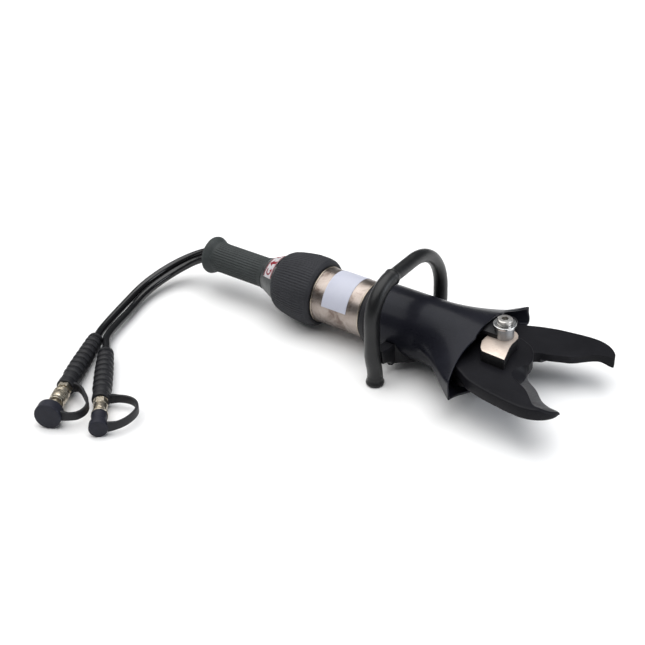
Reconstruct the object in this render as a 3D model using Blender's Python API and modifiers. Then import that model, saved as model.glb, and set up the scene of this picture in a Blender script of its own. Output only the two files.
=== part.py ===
"""Hydraulic rescue cutter: a piston in a plated barrel pushes two links forward,
and they turn two blades closed about one central bolt. Metres, +Z up, +X towards
the blades. The blades stand open. The part stands on its handle feet and on the
end of the pivot bolt at z = 0."""

import math

import bmesh
import bpy
from mathutils import Matrix, Vector

mm = 0.001

# ---------------------------------------------------------------- dimensions
GAP = 0.3 * mm  # space kept between pieces that touch
AXIS_Z = 57.5 * mm  # height of the cylinder axis over the floor
REAR_X = -523.0 * mm  # rear end of the grip, counted from the pivot
TIP_X = 128.5 * mm  # blade tips, counted from the pivot
PIVOT_X = -(REAR_X + TIP_X) / 2  # puts the middle of the tool at x = 0

GRIP_R = 23.4 * mm
GRIP_FLANGE_R = 30.0 * mm
GRIP_FRONT = -407.0 * mm
TUBE_R, TUBE_BORE_R = 19.0 * mm, 16.2 * mm
HOSE_MID = (1.3 * mm, -3.6 * mm)  # middle of the two hose holes in the gland, across and up
HOSE_HALF, HOSE_LEAN = 6.85 * mm, math.radians(36)  # half their distance; the far hole stands higher

NECK_START_R, NECK_R = 26.0 * mm, 34.0 * mm  # small and large end of the valve neck
RING_REAR, RING_FRONT = -389.0 * mm, -302.0 * mm
RING_R = 53.0 * mm

BARREL_R, BARREL_BORE_R = 42.5 * mm, 35.0 * mm
BARREL_REAR, BARREL_FRONT = -345.0 * mm, -216.0 * mm
ROD_R = 14.0 * mm
PISTON_REAR, PISTON_FRONT = -326.0 * mm, -297.0 * mm

SHROUD_R, SHROUD_WALL = 48.5 * mm, 4.0 * mm
SHROUD_REAR, FLARE_START, SHROUD_FRONT = -199.4 * mm, -122.0 * mm, -20.0 * mm
SHROUD_HALF_W = 114.5 * mm  # half width at the front corners
SHROUD_EDGE_H = 14.0 * mm  # half height of the side edges

BLADE_T = 17.0 * mm
THRUST_TOP, THRUST_LOW = 16.7 * mm, 5.0 * mm  # thickness of the thrust plates
EAR_LOW, EAR_HIGH = 35.0 * mm, 44.0 * mm
EAR_HALF_W, EAR_BOSS_R, EAR_BOSS_TOP = 20.0 * mm, 13.8 * mm, 50.7 * mm
EAR_COLLAR_R = 13.4 * mm  # collar of each ear that bears on a thrust plate
BOLT_R, BOLT_HEAD_R, BOLT_TOP = 9.0 * mm, 10.8 * mm, 62.5 * mm
BUSH_R = 15.5 * mm

TAIL_R = 65.0 * mm  # tail pin from the pivot
TAIL_OPEN = math.radians(24.0)  # tail pin behind square, blades open
LINK_L = 85.0 * mm
LINK_SIDE = 16.0 * mm  # crosshead pin from the axis
TAIL_X = -TAIL_R * math.sin(TAIL_OPEN)
TAIL_Y = TAIL_R * math.cos(TAIL_OPEN)
CROSS_X = TAIL_X - math.sqrt(LINK_L**2 - (TAIL_Y - LINK_SIDE) ** 2)
PIN_R = 8.0 * mm
CROSS_PIN_R = 7.0 * mm
TAIL_CLEAR = 1.4 * mm  # the linkage is open at the tail pins, so the link eye is wide
LINK_SET = 1.3 * mm  # the eye stands this far outside the pin with the blades open
PIN_DEPTH = 13.0 * mm  # blind depth of the tail pin in its blade

HANDLE_X = -157.0 * mm
HANDLE_R = 11.0 * mm
HANDLE_SIDE = 93.0 * mm
FOOT_SIDE = 86.0 * mm  # the legs draw in towards their feet
HANDLE_TOP = 97.0 * mm  # centre line of the bar over the axis
HANDLE_BEND = {"near": 50.0 * mm, "far": 80.0 * mm}
HANDLE_LEAN = math.radians(1.0)
FOOT_R = 13.2 * mm

HOSE_R = 6.2 * mm
FEMALE_START = Vector((-559.5 * mm, -235.5 * mm, 12.8 * mm - AXIS_Z))
FEMALE_DIR = Vector((0.415, -0.909, 0.0345))
MALE_START = Vector((-531.0 * mm, -243.0 * mm, 13.3 * mm - AXIS_Z))
MALE_DIR = Vector((0.635, -0.772, 0.0))
SLEEVE_R = 11.6 * mm
FEMALE_SLEEVE_L, MALE_SLEEVE_L = 116.0 * mm, 124.0 * mm
FEMALE_CAP_R, MALE_CAP_R = 18.5 * mm, 12.8 * mm
FEMALE_L, MALE_L = 208.0 * mm, 204.0 * mm  # sleeve, coupling and cap

# ---------------------------------------------------------------- scene
for old in list(bpy.data.objects):
    bpy.data.objects.remove(old, do_unlink=True)
parts = bpy.data.collections.new("rescue_cutter")
cutters = bpy.data.collections.new("cutters")
for group in (parts, cutters):
    bpy.context.scene.collection.children.link(group)


def finish(name, colour, roughness, metallic):
    material = bpy.data.materials.new(name)
    material.use_nodes = True
    shader = material.node_tree.nodes["Principled BSDF"]
    shader.inputs["Base Color"].default_value = (*colour, 1.0)
    shader.inputs["Roughness"].default_value = roughness
    shader.inputs["Metallic"].default_value = metallic
    return material


FINISHES = {
    "grip_rubber": ((0.060, 0.070, 0.070), 0.7, 0.0),
    "ring_rubber": ((0.045, 0.047, 0.053), 0.75, 0.0),
    "black_rubber": ((0.018, 0.018, 0.020), 0.6, 0.0),
    "hose_rubber": ((0.010, 0.010, 0.011), 0.25, 0.0),
    "plated": ((0.42, 0.36, 0.32), 0.3, 1.0),
    "steel": ((0.42, 0.42, 0.43), 0.35, 1.0),
    "bright_steel": ((0.78, 0.70, 0.64), 0.35, 1.0),
    "bolt_steel": ((0.52, 0.50, 0.46), 0.3, 1.0),
    "black_paint": ((0.012, 0.012, 0.015), 0.25, 0.0),
    "blade_black": ((0.016, 0.016, 0.018), 0.4, 0.3),
    "neck_metal": ((0.32, 0.33, 0.32), 0.4, 1.0),
    "gold_metal": ((0.48, 0.38, 0.24), 0.3, 1.0),
    "bronze": ((0.45, 0.30, 0.16), 0.4, 1.0),
    "label_white": ((0.72, 0.73, 0.80), 0.4, 0.0),
}


def empty(name, location, parent=None, frame=None):
    made = bpy.data.objects.new(name, None)
    made.empty_display_size = 0.02
    parts.objects.link(made)
    made.parent = parent
    if frame is not None:
        made.matrix_local = Matrix.Translation(location) @ frame.to_4x4()
    else:
        made.location = location
    return made


AXIS = empty("tool_axis", (PIVOT_X, 0, AXIS_Z))


def place(name, data, look, parent, location, rotation):
    made = bpy.data.objects.new(name, data)
    if look is None:
        cutters.objects.link(made)
        made.hide_render = True
        made.display_type = "WIRE"
    else:
        parts.objects.link(made)
        data.materials.append(finish(name, *FINISHES[look]))
    made.parent = parent or AXIS
    made.location = location
    made.rotation_euler = rotation
    return made


ALONG_X = (0, math.pi / 2, 0)


def turned(name, profile, look, seg=24, parent=None, location=(0, 0, 0), rotation=ALONG_X):
    """A turned piece from (station, radius) points; a loop that stays off the axis is a ring."""
    ring = [(r, 0.0, s) for s, r in profile]
    area = sum(
        a[0] * b[2] - b[0] * a[2] for a, b in zip(ring, ring[1:] + ring[:1])
    )
    if area > 0:
        ring.reverse()
    solid = min(r for _, r in profile) < 1e-7
    count = len(ring)
    if solid:
        while ring[0][0] > 1e-7 or ring[-1][0] > 1e-7:
            ring = ring[1:] + ring[:1]
    edges = [(i, (i + 1) % count) for i in range(count - solid)]
    mesh = bpy.data.meshes.new(name)
    mesh.from_pydata(ring, edges, [])
    made = place(name, mesh, look, parent, location, rotation)
    screw = made.modifiers.new("Turn", "SCREW")
    screw.axis = "Z"
    screw.angle = 2 * math.pi
    screw.steps = screw.render_steps = seg
    screw.use_merge_vertices = True
    screw.merge_threshold = 1e-5
    screw.use_smooth_shade = True
    return made


def from_bmesh(name, shape, look, parent=None, location=(0, 0, 0), rotation=(0, 0, 0)):
    bmesh.ops.recalc_face_normals(shape, faces=shape.faces)
    mesh = bpy.data.meshes.new(name)
    shape.to_mesh(mesh)
    shape.free()
    return place(name, mesh, look, parent, location, rotation)


def rod(name, radius, low, high, look, seg=24, parent=None, location=(0, 0, 0), rotation=(0, 0, 0)):
    """A plain round bar along its own Z."""
    shape = bmesh.new()
    bmesh.ops.create_cone(
        shape, cap_ends=True, segments=seg, radius1=radius, radius2=radius, depth=high - low
    )
    bmesh.ops.translate(shape, verts=shape.verts, vec=(0, 0, (low + high) / 2))
    made = from_bmesh(name, shape, look, parent, location, rotation)
    made.data.shade_smooth()
    made.data.set_sharp_from_angle(angle=math.radians(35))
    return made


def box(name, low, high, look, parent=None):
    shape = bmesh.new()
    bmesh.ops.create_cube(shape, size=1.0)
    size = [b - a for a, b in zip(low, high)]
    middle = [(a + b) / 2 for a, b in zip(low, high)]
    bmesh.ops.scale(shape, vec=size, verts=shape.verts)
    bmesh.ops.translate(shape, vec=middle, verts=shape.verts)
    return from_bmesh(name, shape, look, parent)


def slab(name, outline, low, high, look, parent=None):
    """A straight-sided block on a plan outline."""
    shape = bmesh.new()
    face = shape.faces.new([shape.verts.new((x, y, low)) for x, y in outline])
    grown = bmesh.ops.extrude_face_region(shape, geom=[face])
    raised = [v for v in grown["geom"] if isinstance(v, bmesh.types.BMVert)]
    bmesh.ops.translate(shape, verts=raised, vec=(0, 0, high - low))
    bmesh.ops.recalc_face_normals(shape, faces=shape.faces)
    return from_bmesh(name, shape, look, parent)


def boolean(target, operation, *others):
    for other in others:
        step = target.modifiers.new(other.name, "BOOLEAN")
        step.operation = operation
        step.solver = "EXACT"
        step.object = other


def plate(name, outlines, half, look, parent=None, location=(0, 0, 0), rotation=(0, 0, 0)):
    """A flat piece: its outline first, then its holes."""
    curve = bpy.data.curves.new(name, "CURVE")
    curve.dimensions = "2D"
    curve.fill_mode = "BOTH"
    curve.extrude = half
    for outline in outlines:
        spline = curve.splines.new("POLY")
        spline.points.add(len(outline) - 1)
        for point, (x, y) in zip(spline.points, outline):
            point.co = (x, y, 0, 1)
        spline.use_cyclic_u = True
    return place(name, curve, look, parent, location, rotation)


def tube(name, points, radius, look, sides=2, parent=None):
    curve = bpy.data.curves.new(name, "CURVE")
    curve.dimensions = "3D"
    curve.bevel_depth = radius
    curve.bevel_resolution = sides
    curve.use_fill_caps = True
    spline = curve.splines.new("POLY")
    spline.points.add(len(points) - 1)
    for point, where in zip(spline.points, points):
        point.co = (*where, 1)
    return place(name, curve, look, parent, (0, 0, 0), (0, 0, 0))


def circle(radius, seg=24, centre=(0, 0)):
    return [
        (
            centre[0] + radius * math.cos(2 * math.pi * i / seg),
            centre[1] + radius * math.sin(2 * math.pi * i / seg),
        )
        for i in range(seg)
    ]


def arc(centre, radius, start, end, count):
    return [
        (
            centre[0] + radius * math.cos(math.radians(start + (end - start) * i / (count - 1))),
            centre[1] + radius * math.sin(math.radians(start + (end - start) * i / (count - 1))),
        )
        for i in range(count)
    ]


def smooth(points, per=6):
    """Points on one smooth curve through the given ones (Catmull-Rom, chord weighted)."""
    pts = [Vector(p) for p in points]
    pts = [2 * pts[0] - pts[1]] + pts + [2 * pts[-1] - pts[-2]]
    found = []
    for i in range(1, len(pts) - 2):
        p0, p1, p2, p3 = pts[i - 1 : i + 3]
        t0 = 0.0
        t1 = t0 + (p1 - p0).length ** 0.5
        t2 = t1 + (p2 - p1).length ** 0.5
        t3 = t2 + (p3 - p2).length ** 0.5
        for k in range(per):
            t = t1 + (t2 - t1) * k / per
            a1 = p0 * ((t1 - t) / (t1 - t0)) + p1 * ((t - t0) / (t1 - t0))
            a2 = p1 * ((t2 - t) / (t2 - t1)) + p2 * ((t - t1) / (t2 - t1))
            a3 = p2 * ((t3 - t) / (t3 - t2)) + p3 * ((t - t2) / (t3 - t2))
            b1 = a1 * ((t2 - t) / (t2 - t0)) + a2 * ((t - t0) / (t2 - t0))
            b2 = a2 * ((t3 - t) / (t3 - t1)) + a3 * ((t - t1) / (t3 - t1))
            found.append(b1 * ((t2 - t) / (t2 - t1)) + b2 * ((t - t1) / (t2 - t1)))
    found.append(pts[-2])
    return found


# ---------------------------------------------------------------- rear grip
turned(
    "rear_grip",
    [
        (REAR_X, TUBE_R + GAP),
        (REAR_X, GRIP_FLANGE_R - 5 * mm),
        (REAR_X + 2.5 * mm, GRIP_FLANGE_R - 1.2 * mm),
        (REAR_X + 7 * mm, GRIP_FLANGE_R),
        (REAR_X + 11.5 * mm, GRIP_FLANGE_R - 1.8 * mm),
        (REAR_X + 17 * mm, GRIP_R + 0.8 * mm),
        (REAR_X + 26 * mm, GRIP_R),
        (GRIP_FRONT - 10 * mm, GRIP_R),
        (GRIP_FRONT - 2 * mm, NECK_START_R - 0.4 * mm),
        (GRIP_FRONT, NECK_START_R - 1.0 * mm),
        (GRIP_FRONT, TUBE_R + GAP),
    ],
    "grip_rubber",
    seg=32,
)
turned(
    "grip_tube",
    [
        (REAR_X + 1 * mm, TUBE_BORE_R),
        (REAR_X + 1 * mm, TUBE_R),
        (GRIP_FRONT, TUBE_R),
        (GRIP_FRONT, TUBE_BORE_R),
    ],
    "neck_metal",
)
plate(
    "hose_gland",
    [circle(TUBE_BORE_R - GAP, 28)]
    + [
        circle(
            HOSE_R + GAP,
            16,
            (-HOSE_MID[1] - side * HOSE_HALF * math.sin(HOSE_LEAN), HOSE_MID[0] + side * HOSE_HALF * math.cos(HOSE_LEAN)),
        )
        for side in (-1, 1)
    ],
    9 * mm,
    "black_rubber",
    location=(REAR_X + 10.5 * mm, 0, 0),
    rotation=ALONG_X,
)

# ---------------------------------------------------------------- valve
NECK_REAR = GRIP_FRONT + GAP
VALVE_R = 24.5 * mm
VALVE_FRONT = -362.4 * mm
SPOOL_R = 8.6 * mm
PIN_STATION = -376.0 * mm
valve = turned(
    "valve_body",
    [
        (NECK_REAR, 0),
        (NECK_REAR, NECK_START_R),
        (RING_REAR - 1.0 * mm, NECK_R),
        (RING_REAR - 0.5 * mm, NECK_R - 1.0 * mm),
        (RING_REAR - 0.5 * mm, VALVE_R),
        (VALVE_FRONT, VALVE_R),
        (VALVE_FRONT, 0),
    ],
    "neck_metal",
)
boolean(
    valve,
    "DIFFERENCE",
    rod("spool_bore", SPOOL_R + GAP, -403 * mm, -350 * mm, None, seg=20, rotation=ALONG_X),
    box("pin_slot", (PIN_STATION - 4 * mm, -20 * mm, 4 * mm), (PIN_STATION + 4 * mm, 20 * mm, 40 * mm), None),
)
CONTROL = empty("control_axis", (PIN_STATION, 0, 0), AXIS)
turned(
    "valve_spool",
    [
        (-402 * mm - PIN_STATION, 0),
        (-402 * mm - PIN_STATION, SPOOL_R),
        (-396 * mm - PIN_STATION, SPOOL_R),
        (-395 * mm - PIN_STATION, SPOOL_R - 2 * mm),
        (-389 * mm - PIN_STATION, SPOOL_R - 2 * mm),
        (-388 * mm - PIN_STATION, SPOOL_R),
        (-366 * mm - PIN_STATION, SPOOL_R),
        (-366 * mm - PIN_STATION, 0),
    ],
    "steel",
    seg=16,
    parent=CONTROL,
)
rod("drive_pin", 2.4 * mm, SPOOL_R + GAP, 32.4 * mm, "steel", seg=12, parent=CONTROL)

RING_OUT = [
    (RING_REAR / mm, 34.4), (-387.5, 36.4), (-381.5, 40.3), (-371, 45.0),
    (-360, 48.2), (-346, 51.5), (-332, RING_R / mm), (-316, RING_R / mm),
    (-307, 51.4), (RING_FRONT / mm, 47.8),
]
RING_IN = [
    (RING_FRONT / mm, 43.4), (-361, 43.4), (-371, 38.0), (-380, 33.2), (-385, 25.3), (RING_REAR / mm, 25.3),
]
turned(
    "control_ring",
    [(s * mm - PIN_STATION, r * mm) for s, r in RING_OUT + RING_IN],
    "ring_rubber",
    seg=36,
    parent=CONTROL,
)
coil = []
TURNS, PER = 3, 10
for i in range(TURNS * PER + 1):
    angle = 2 * math.pi * i / PER
    coil.append(
        (
            -371.8 * mm + 6.4 * mm * i / (TURNS * PER),
            27.5 * mm * math.cos(angle),
            27.5 * mm * math.sin(angle),
        )
    )
tube("centring_spring", coil, 0.9 * mm, "steel", sides=0)


def band(name, profile, low, high, look, steps=14):
    """Part of a turned ring, from one angle to the other about the axis, counted from the top towards the near side."""
    rings = []
    shape = bmesh.new()
    for i in range(steps + 1):
        angle = math.radians(low + (high - low) * i / steps)
        rings.append(
            [
                shape.verts.new((s, -r * math.sin(angle), r * math.cos(angle)))
                for s, r in profile
            ]
        )
    edges = []
    first = shape.faces.new(rings[0])
    bmesh.ops.delete(shape, geom=[first], context="FACES_ONLY")
    for here, there in zip(rings, rings[1:]):
        count = len(here)
        for k in range(count):
            shape.faces.new((here[k], here[(k + 1) % count], there[(k + 1) % count], there[k]))
    shape.faces.new(rings[0])
    shape.faces.new(rings[-1])
    return from_bmesh(name, shape, look)


def neck_radius(station):
    rise = (NECK_R - NECK_START_R) / (RING_REAR - 1.0 * mm - NECK_REAR)
    return NECK_START_R + rise * (station - NECK_REAR)


BAND_LOW, BAND_HIGH = -402.5 * mm, -391.0 * mm
band(
    "direction_band",
    [
        (BAND_LOW, neck_radius(BAND_LOW) + GAP),
        (BAND_HIGH, neck_radius(BAND_HIGH) + GAP),
        (BAND_HIGH, neck_radius(BAND_HIGH) + 0.8 * mm),
        (BAND_LOW, neck_radius(BAND_LOW) + 0.8 * mm),
    ],
    -75,
    64,
    "label_white",
)

# ---------------------------------------------------------------- cylinder
turned(
    "rear_cap",
    [
        (-362.0 * mm, 0),
        (-362.0 * mm, BARREL_R - 1.5 * mm),
        (-361.0 * mm, BARREL_R - 0.6 * mm),
        (BARREL_REAR - GAP, BARREL_R - 0.6 * mm),
        (BARREL_REAR - GAP, BARREL_BORE_R - GAP),
        (-334 * mm, BARREL_BORE_R - GAP),
        (-334 * mm, 0),
    ],
    "neck_metal",
)
turned(
    "barrel",
    [
        (BARREL_REAR, BARREL_BORE_R),
        (BARREL_REAR, BARREL_R),
        (BARREL_FRONT, BARREL_R),
        (BARREL_FRONT, BARREL_BORE_R),
    ],
    "plated",
    seg=36,
)
band(
    "barrel_label",
    [
        (-281 * mm, BARREL_R + GAP),
        (-238 * mm, BARREL_R + GAP),
        (-238 * mm, BARREL_R + 0.7 * mm),
        (-281 * mm, BARREL_R + 0.7 * mm),
    ],
    -48,
    80,
    "label_white",
)
turned(
    "front_gland",
    [
        (-232 * mm, ROD_R + GAP),
        (-232 * mm, BARREL_BORE_R - GAP),
        (BARREL_FRONT, BARREL_BORE_R - GAP),
        (BARREL_FRONT, ROD_R + GAP),
        (-221 * mm, ROD_R + GAP),
        (-221 * mm, ROD_R + 5 * mm),
        (-227 * mm, ROD_R + 5 * mm),
        (-227 * mm, ROD_R + GAP),
    ],
    "bronze",
)
turned(
    "rod_seal",
    [
        (-226.7 * mm, ROD_R + GAP),
        (-226.7 * mm, ROD_R + 4.7 * mm),
        (-221.3 * mm, ROD_R + 4.7 * mm),
        (-221.3 * mm, ROD_R + GAP),
    ],
    "black_rubber",
    seg=28,
)
RAM = empty("ram_axis", (0, 0, 0), AXIS)
turned(
    "piston",
    [
        (PISTON_REAR, 9.3 * mm),
        (PISTON_REAR, BARREL_BORE_R - 0.5 * mm),
        (-316 * mm, BARREL_BORE_R - 0.5 * mm),
        (-316 * mm, BARREL_BORE_R - 4 * mm),
        (-307 * mm, BARREL_BORE_R - 4 * mm),
        (-307 * mm, BARREL_BORE_R - 0.5 * mm),
        (PISTON_FRONT, BARREL_BORE_R - 0.5 * mm),
        (PISTON_FRONT, 9.3 * mm),
    ],
    "steel",
    parent=RAM,
)
turned(
    "piston_seal",
    [
        (-315.7 * mm, BARREL_BORE_R - 3.7 * mm),
        (-315.7 * mm, BARREL_BORE_R - GAP),
        (-307.3 * mm, BARREL_BORE_R - GAP),
        (-307.3 * mm, BARREL_BORE_R - 3.7 * mm),
    ],
    "black_rubber",
    parent=RAM,
)
ROD_END = CROSS_X - 22 * mm
turned(
    "piston_rod",
    [
        (-332 * mm, 0),
        (-332 * mm, 9 * mm),
        (PISTON_FRONT + GAP, 9 * mm),
        (PISTON_FRONT + GAP, ROD_R),
        (ROD_END, ROD_R),
        (ROD_END, 0),
    ],
    "bright_steel",
    seg=28,
    parent=RAM,
)
plate(
    "piston_nut",
    [circle(15 * mm, 6), circle(9.3 * mm, 18)],
    3.2 * mm,
    "steel",
    parent=RAM,
    location=(PISTON_REAR - 3.5 * mm, 0, 0),
    rotation=ALONG_X,
)

# ---------------------------------------------------------------- crosshead and links
cross = box(
    "crosshead",
    (CROSS_X - 34 * mm, -31 * mm, -BLADE_T),
    (CROSS_X + 15 * mm, 31 * mm, BLADE_T),
    "steel",
    parent=RAM,
)
CROSS_HOLES = [
    rod(f"cross_hole_{tag}", CROSS_PIN_R + GAP, -40 * mm, 40 * mm, None, seg=20, parent=RAM, location=(CROSS_X, side * LINK_SIDE, 0))
    for tag, side in (("near", -1), ("far", 1))
]
boolean(
    cross,
    "DIFFERENCE",
    box("near_lap", (CROSS_X - 17 * mm, -60 * mm, -40 * mm), (CROSS_X + 30 * mm, -0.6 * mm, 0), None, RAM),
    box("far_lap", (CROSS_X - 17 * mm, 0.6 * mm, 0), (CROSS_X + 30 * mm, 60 * mm, 40 * mm), None, RAM),
    *CROSS_HOLES,
    rod("rod_socket", ROD_R + GAP, CROSS_X - 60 * mm, ROD_END + GAP, None, seg=28, parent=RAM, rotation=ALONG_X),
)


def link_outline(length, r0, r1):
    return arc((0, 0), r0, 90, 270, 11) + arc((length, 0), r1, -90, 90, 11)


BLADES = {}
for tag, side in (("near", -1), ("far", 1)):
    layer = -side  # the near blade lies over the far one
    rod(
        f"crosshead_pin_{tag}",
        CROSS_PIN_R,
        -BLADE_T + 0.2 * mm,
        BLADE_T - 0.2 * mm,
        "bolt_steel",
        seg=20,
        parent=RAM,
        location=(CROSS_X, side * LINK_SIDE, 0),
    )
    LINK = empty(f"{tag}_link_axis", (CROSS_X, side * LINK_SIDE, 0), RAM)
    plate(
        f"link_{tag}",
        [
            link_outline(LINK_L, 13.5 * mm, 15 * mm),
            circle(CROSS_PIN_R + GAP, 20),
            circle(PIN_R + TAIL_CLEAR, 20, (LINK_L, 0)),
        ],
        (BLADE_T - 1.0 * mm) / 2,
        "steel",
        parent=LINK,
        location=(0, 0, -layer * (BLADE_T / 2 + 0.2 * mm)),
        rotation=(0, 0, side * math.atan2(TAIL_Y + LINK_SET - LINK_SIDE, TAIL_X - CROSS_X)),
    )
    BLADES[tag] = empty(f"{tag}_blade_axis", (0, 0, 0), AXIS)
    rod(
        f"tail_pin_{tag}",
        PIN_R,
        *sorted((-layer * (BLADE_T - 0.2 * mm), layer * PIN_DEPTH)),
        "bolt_steel",
        seg=20,
        parent=BLADES[tag],
        location=(TAIL_X, side * TAIL_Y, 0),
    )

# ---------------------------------------------------------------- blades
# Outline of one open blade in plan, x forward and y outward from the pivot.
HUB = [(35, -19), (23, -27), (8, -32), (-8, -31.5), (-22, -25), (-31, -11)]
TAIL = [(-37, 8), (-43.5, 30), (-46.5, 52), (-44, 67), (-35, 77)]
# The near blade's back is a little fuller than the far one's.
BACK = {
    "near": [(-20, 86.5), (-4, 96), (14, 102), (33, 106.5), (53, 109.6), (72, 111.9), (89, 112.3), (102, 110), (113, 104.5), (121, 97.5), (126.5, 88.5)],
    "far": [(-20, 84), (-4, 91.5), (14, 98.5), (33, 104), (53, 107.5), (72, 109.8), (89, 110), (102, 107.8), (113, 102.5), (121, 95.5), (126.5, 87.5)],
}
TIP = [(TIP_X / mm, 77)]
EDGE = [(121, 75.2), (112, 72.3), (103, 68.4), (95, 63.8), (87, 58), (79, 52), (71, 45.7)]
# From the jaw's middle inwards the far blade is cut deeper than the near one.
ROOT = {"near": [(63.5, 38.8), (58, 33.6), (54.2, 28.8)], "far": [(63.5, 42), (56, 39.2)]}
NOTCH = {
    "near": [(51.6, 23), (50.8, 16.5), (50.4, 10.5), (48.9, 4.4), (45.6, -2.5), (42.4, -9)],
    "far": [(48, 37.2), (40, 35.6), (34.5, 33), (31, 28.8), (30.8, 23.6), (34.5, 19), (39, 14), (41, 8), (41.5, 1), (40.5, -9)],
}
GRIND = 17 * mm  # width of the ground cutting bevel
TIP_T = {"near": 7 * mm, "far": 14 * mm}  # thickness left at the tip


def blade(tag, side):
    layer = -side
    outline = HUB + TAIL + BACK[tag] + TIP + EDGE + ROOT[tag] + NOTCH[tag]
    shape = bmesh.new()
    flat = 0.15 * mm * layer
    verts = [shape.verts.new((x * mm, side * y * mm, flat)) for x, y in outline]
    face = shape.faces.new(verts)
    grown = bmesh.ops.extrude_face_region(shape, geom=[face])
    raised = [v for v in grown["geom"] if isinstance(v, bmesh.types.BMVert)]
    for vert in raised:
        taper = min(max((TIP_X - vert.co.x) / (22 * mm), 0.0), 1.0)
        vert.co.z += layer * (TIP_T[tag] + (BLADE_T - TIP_T[tag]) * taper - 0.15 * mm)
    # The outer face is drawn back along the cutting edge, which leaves the ground bevel.
    edge = [Vector((x * mm, side * y * mm)) for x, y in TIP + EDGE + ROOT[tag] + NOTCH[tag][:2]]
    for vert in raised:
        here = Vector(vert.co[:2])
        near = min(range(len(edge)), key=lambda i: (edge[i] - here).length)
        if (edge[near] - here).length > 1e-6:
            continue
        ahead = edge[max(near - 1, 0)] - edge[min(near + 1, len(edge) - 1)]
        away = Vector((-ahead.y, ahead.x)).normalized() * side
        width = GRIND * min(1.0, 0.25 + 0.75 * near / 3, (len(edge) - 1 - near) / 2)
        vert.co.x += away.x * width
        vert.co.y += away.y * width
    made = from_bmesh(f"blade_{tag}", shape, "blade_black", BLADES[tag])
    boolean(
        made,
        "DIFFERENCE",
        rod(f"hub_hole_{tag}", BUSH_R + GAP, -60 * mm, 60 * mm, None, seg=28, parent=BLADES[tag]),
        rod(f"tail_hole_{tag}", PIN_R + GAP, *sorted((-layer * 60 * mm, layer * (PIN_DEPTH + GAP))), None, seg=20, parent=BLADES[tag], location=(TAIL_X, side * TAIL_Y, 0)),
    )


blade("near", -1)
blade("far", 1)

plate(
    "thrust_plate",
    [
        [(x * mm, y * mm) for x, y in [(-19.2, -28), (-13, -42.5), (-7, -49.5), (28.8, -52), (21, -23.5), (19.4, -13.8)]]
        + arc((0, 0), 19.8 * mm, -8, 188, 10),
        circle(BOLT_R + GAP, 28),
    ],
    THRUST_TOP / 2,
    "bright_steel",
    parent=BLADES["near"],
    location=(0, 0, BLADE_T + GAP + THRUST_TOP / 2),
)
plate(
    "thrust_washer",
    [circle(26 * mm, 28), circle(BOLT_R + GAP, 28)],
    THRUST_LOW / 2,
    "bright_steel",
    parent=BLADES["far"],
    location=(0, 0, -BLADE_T - GAP - THRUST_LOW / 2),
)

# ---------------------------------------------------------------- pivot
turned(
    "pivot_bush",
    [(-BLADE_T, BOLT_R + GAP), (-BLADE_T, BUSH_R), (BLADE_T, BUSH_R), (BLADE_T, BOLT_R + GAP)],
    "bronze",
    seg=28,
    rotation=(0, 0, 0),
)
WASHER_T = {"top": 3.7 * mm, "bottom": 2.2 * mm}
HEAD_LOW = EAR_BOSS_TOP + GAP + WASHER_T["top"] + GAP
bolt = turned(
    "pivot_bolt",
    [
        (BOLT_TOP, 0),
        (BOLT_TOP, BOLT_HEAD_R - 1.2 * mm),
        (BOLT_TOP - 1.2 * mm, BOLT_HEAD_R),
        (HEAD_LOW, BOLT_HEAD_R),
        (HEAD_LOW, BOLT_R),
        (-AXIS_Z + 1.0 * mm, BOLT_R),
        (-AXIS_Z, BOLT_R - 1.0 * mm),
        (-AXIS_Z, 0),
    ],
    "bolt_steel",
    seg=28,
    rotation=(0, 0, 0),
)
boolean(bolt, "DIFFERENCE", rod("hex_socket", 5.2 * mm, BOLT_TOP - 6 * mm, BOLT_TOP + 5 * mm, None, seg=6))
for tag, low in (("top", EAR_BOSS_TOP + GAP), ("bottom", -EAR_HIGH - GAP - WASHER_T["bottom"])):
    turned(
        f"pivot_washer_{tag}",
        [
            (low, BOLT_R + GAP),
            (low, 16.2 * mm),
            (low + WASHER_T[tag], 16.2 * mm),
            (low + WASHER_T[tag], BOLT_R + GAP),
        ],
        "bolt_steel",
        seg=28,
        rotation=(0, 0, 0),
    )
plate(
    "pivot_nut",
    [circle(20 * mm, 6), circle(BOLT_R + GAP, 28)],
    4.0 * mm,
    "bolt_steel",
    location=(0, 0, -EAR_HIGH - GAP - WASHER_T["bottom"] - GAP - 4.0 * mm),
)

# ---------------------------------------------------------------- yoke
FLANGE_FRONT = -192 * mm
yoke = turned(
    "yoke",
    [
        (BARREL_FRONT + GAP, ROD_R + 1 * mm),
        (BARREL_FRONT + GAP, SHROUD_R - SHROUD_WALL - 0.6 * mm),
        (FLANGE_FRONT, SHROUD_R - SHROUD_WALL - 0.6 * mm),
        (FLANGE_FRONT, ROD_R + 1 * mm),
    ],
    "steel",
    seg=32,
)
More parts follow.
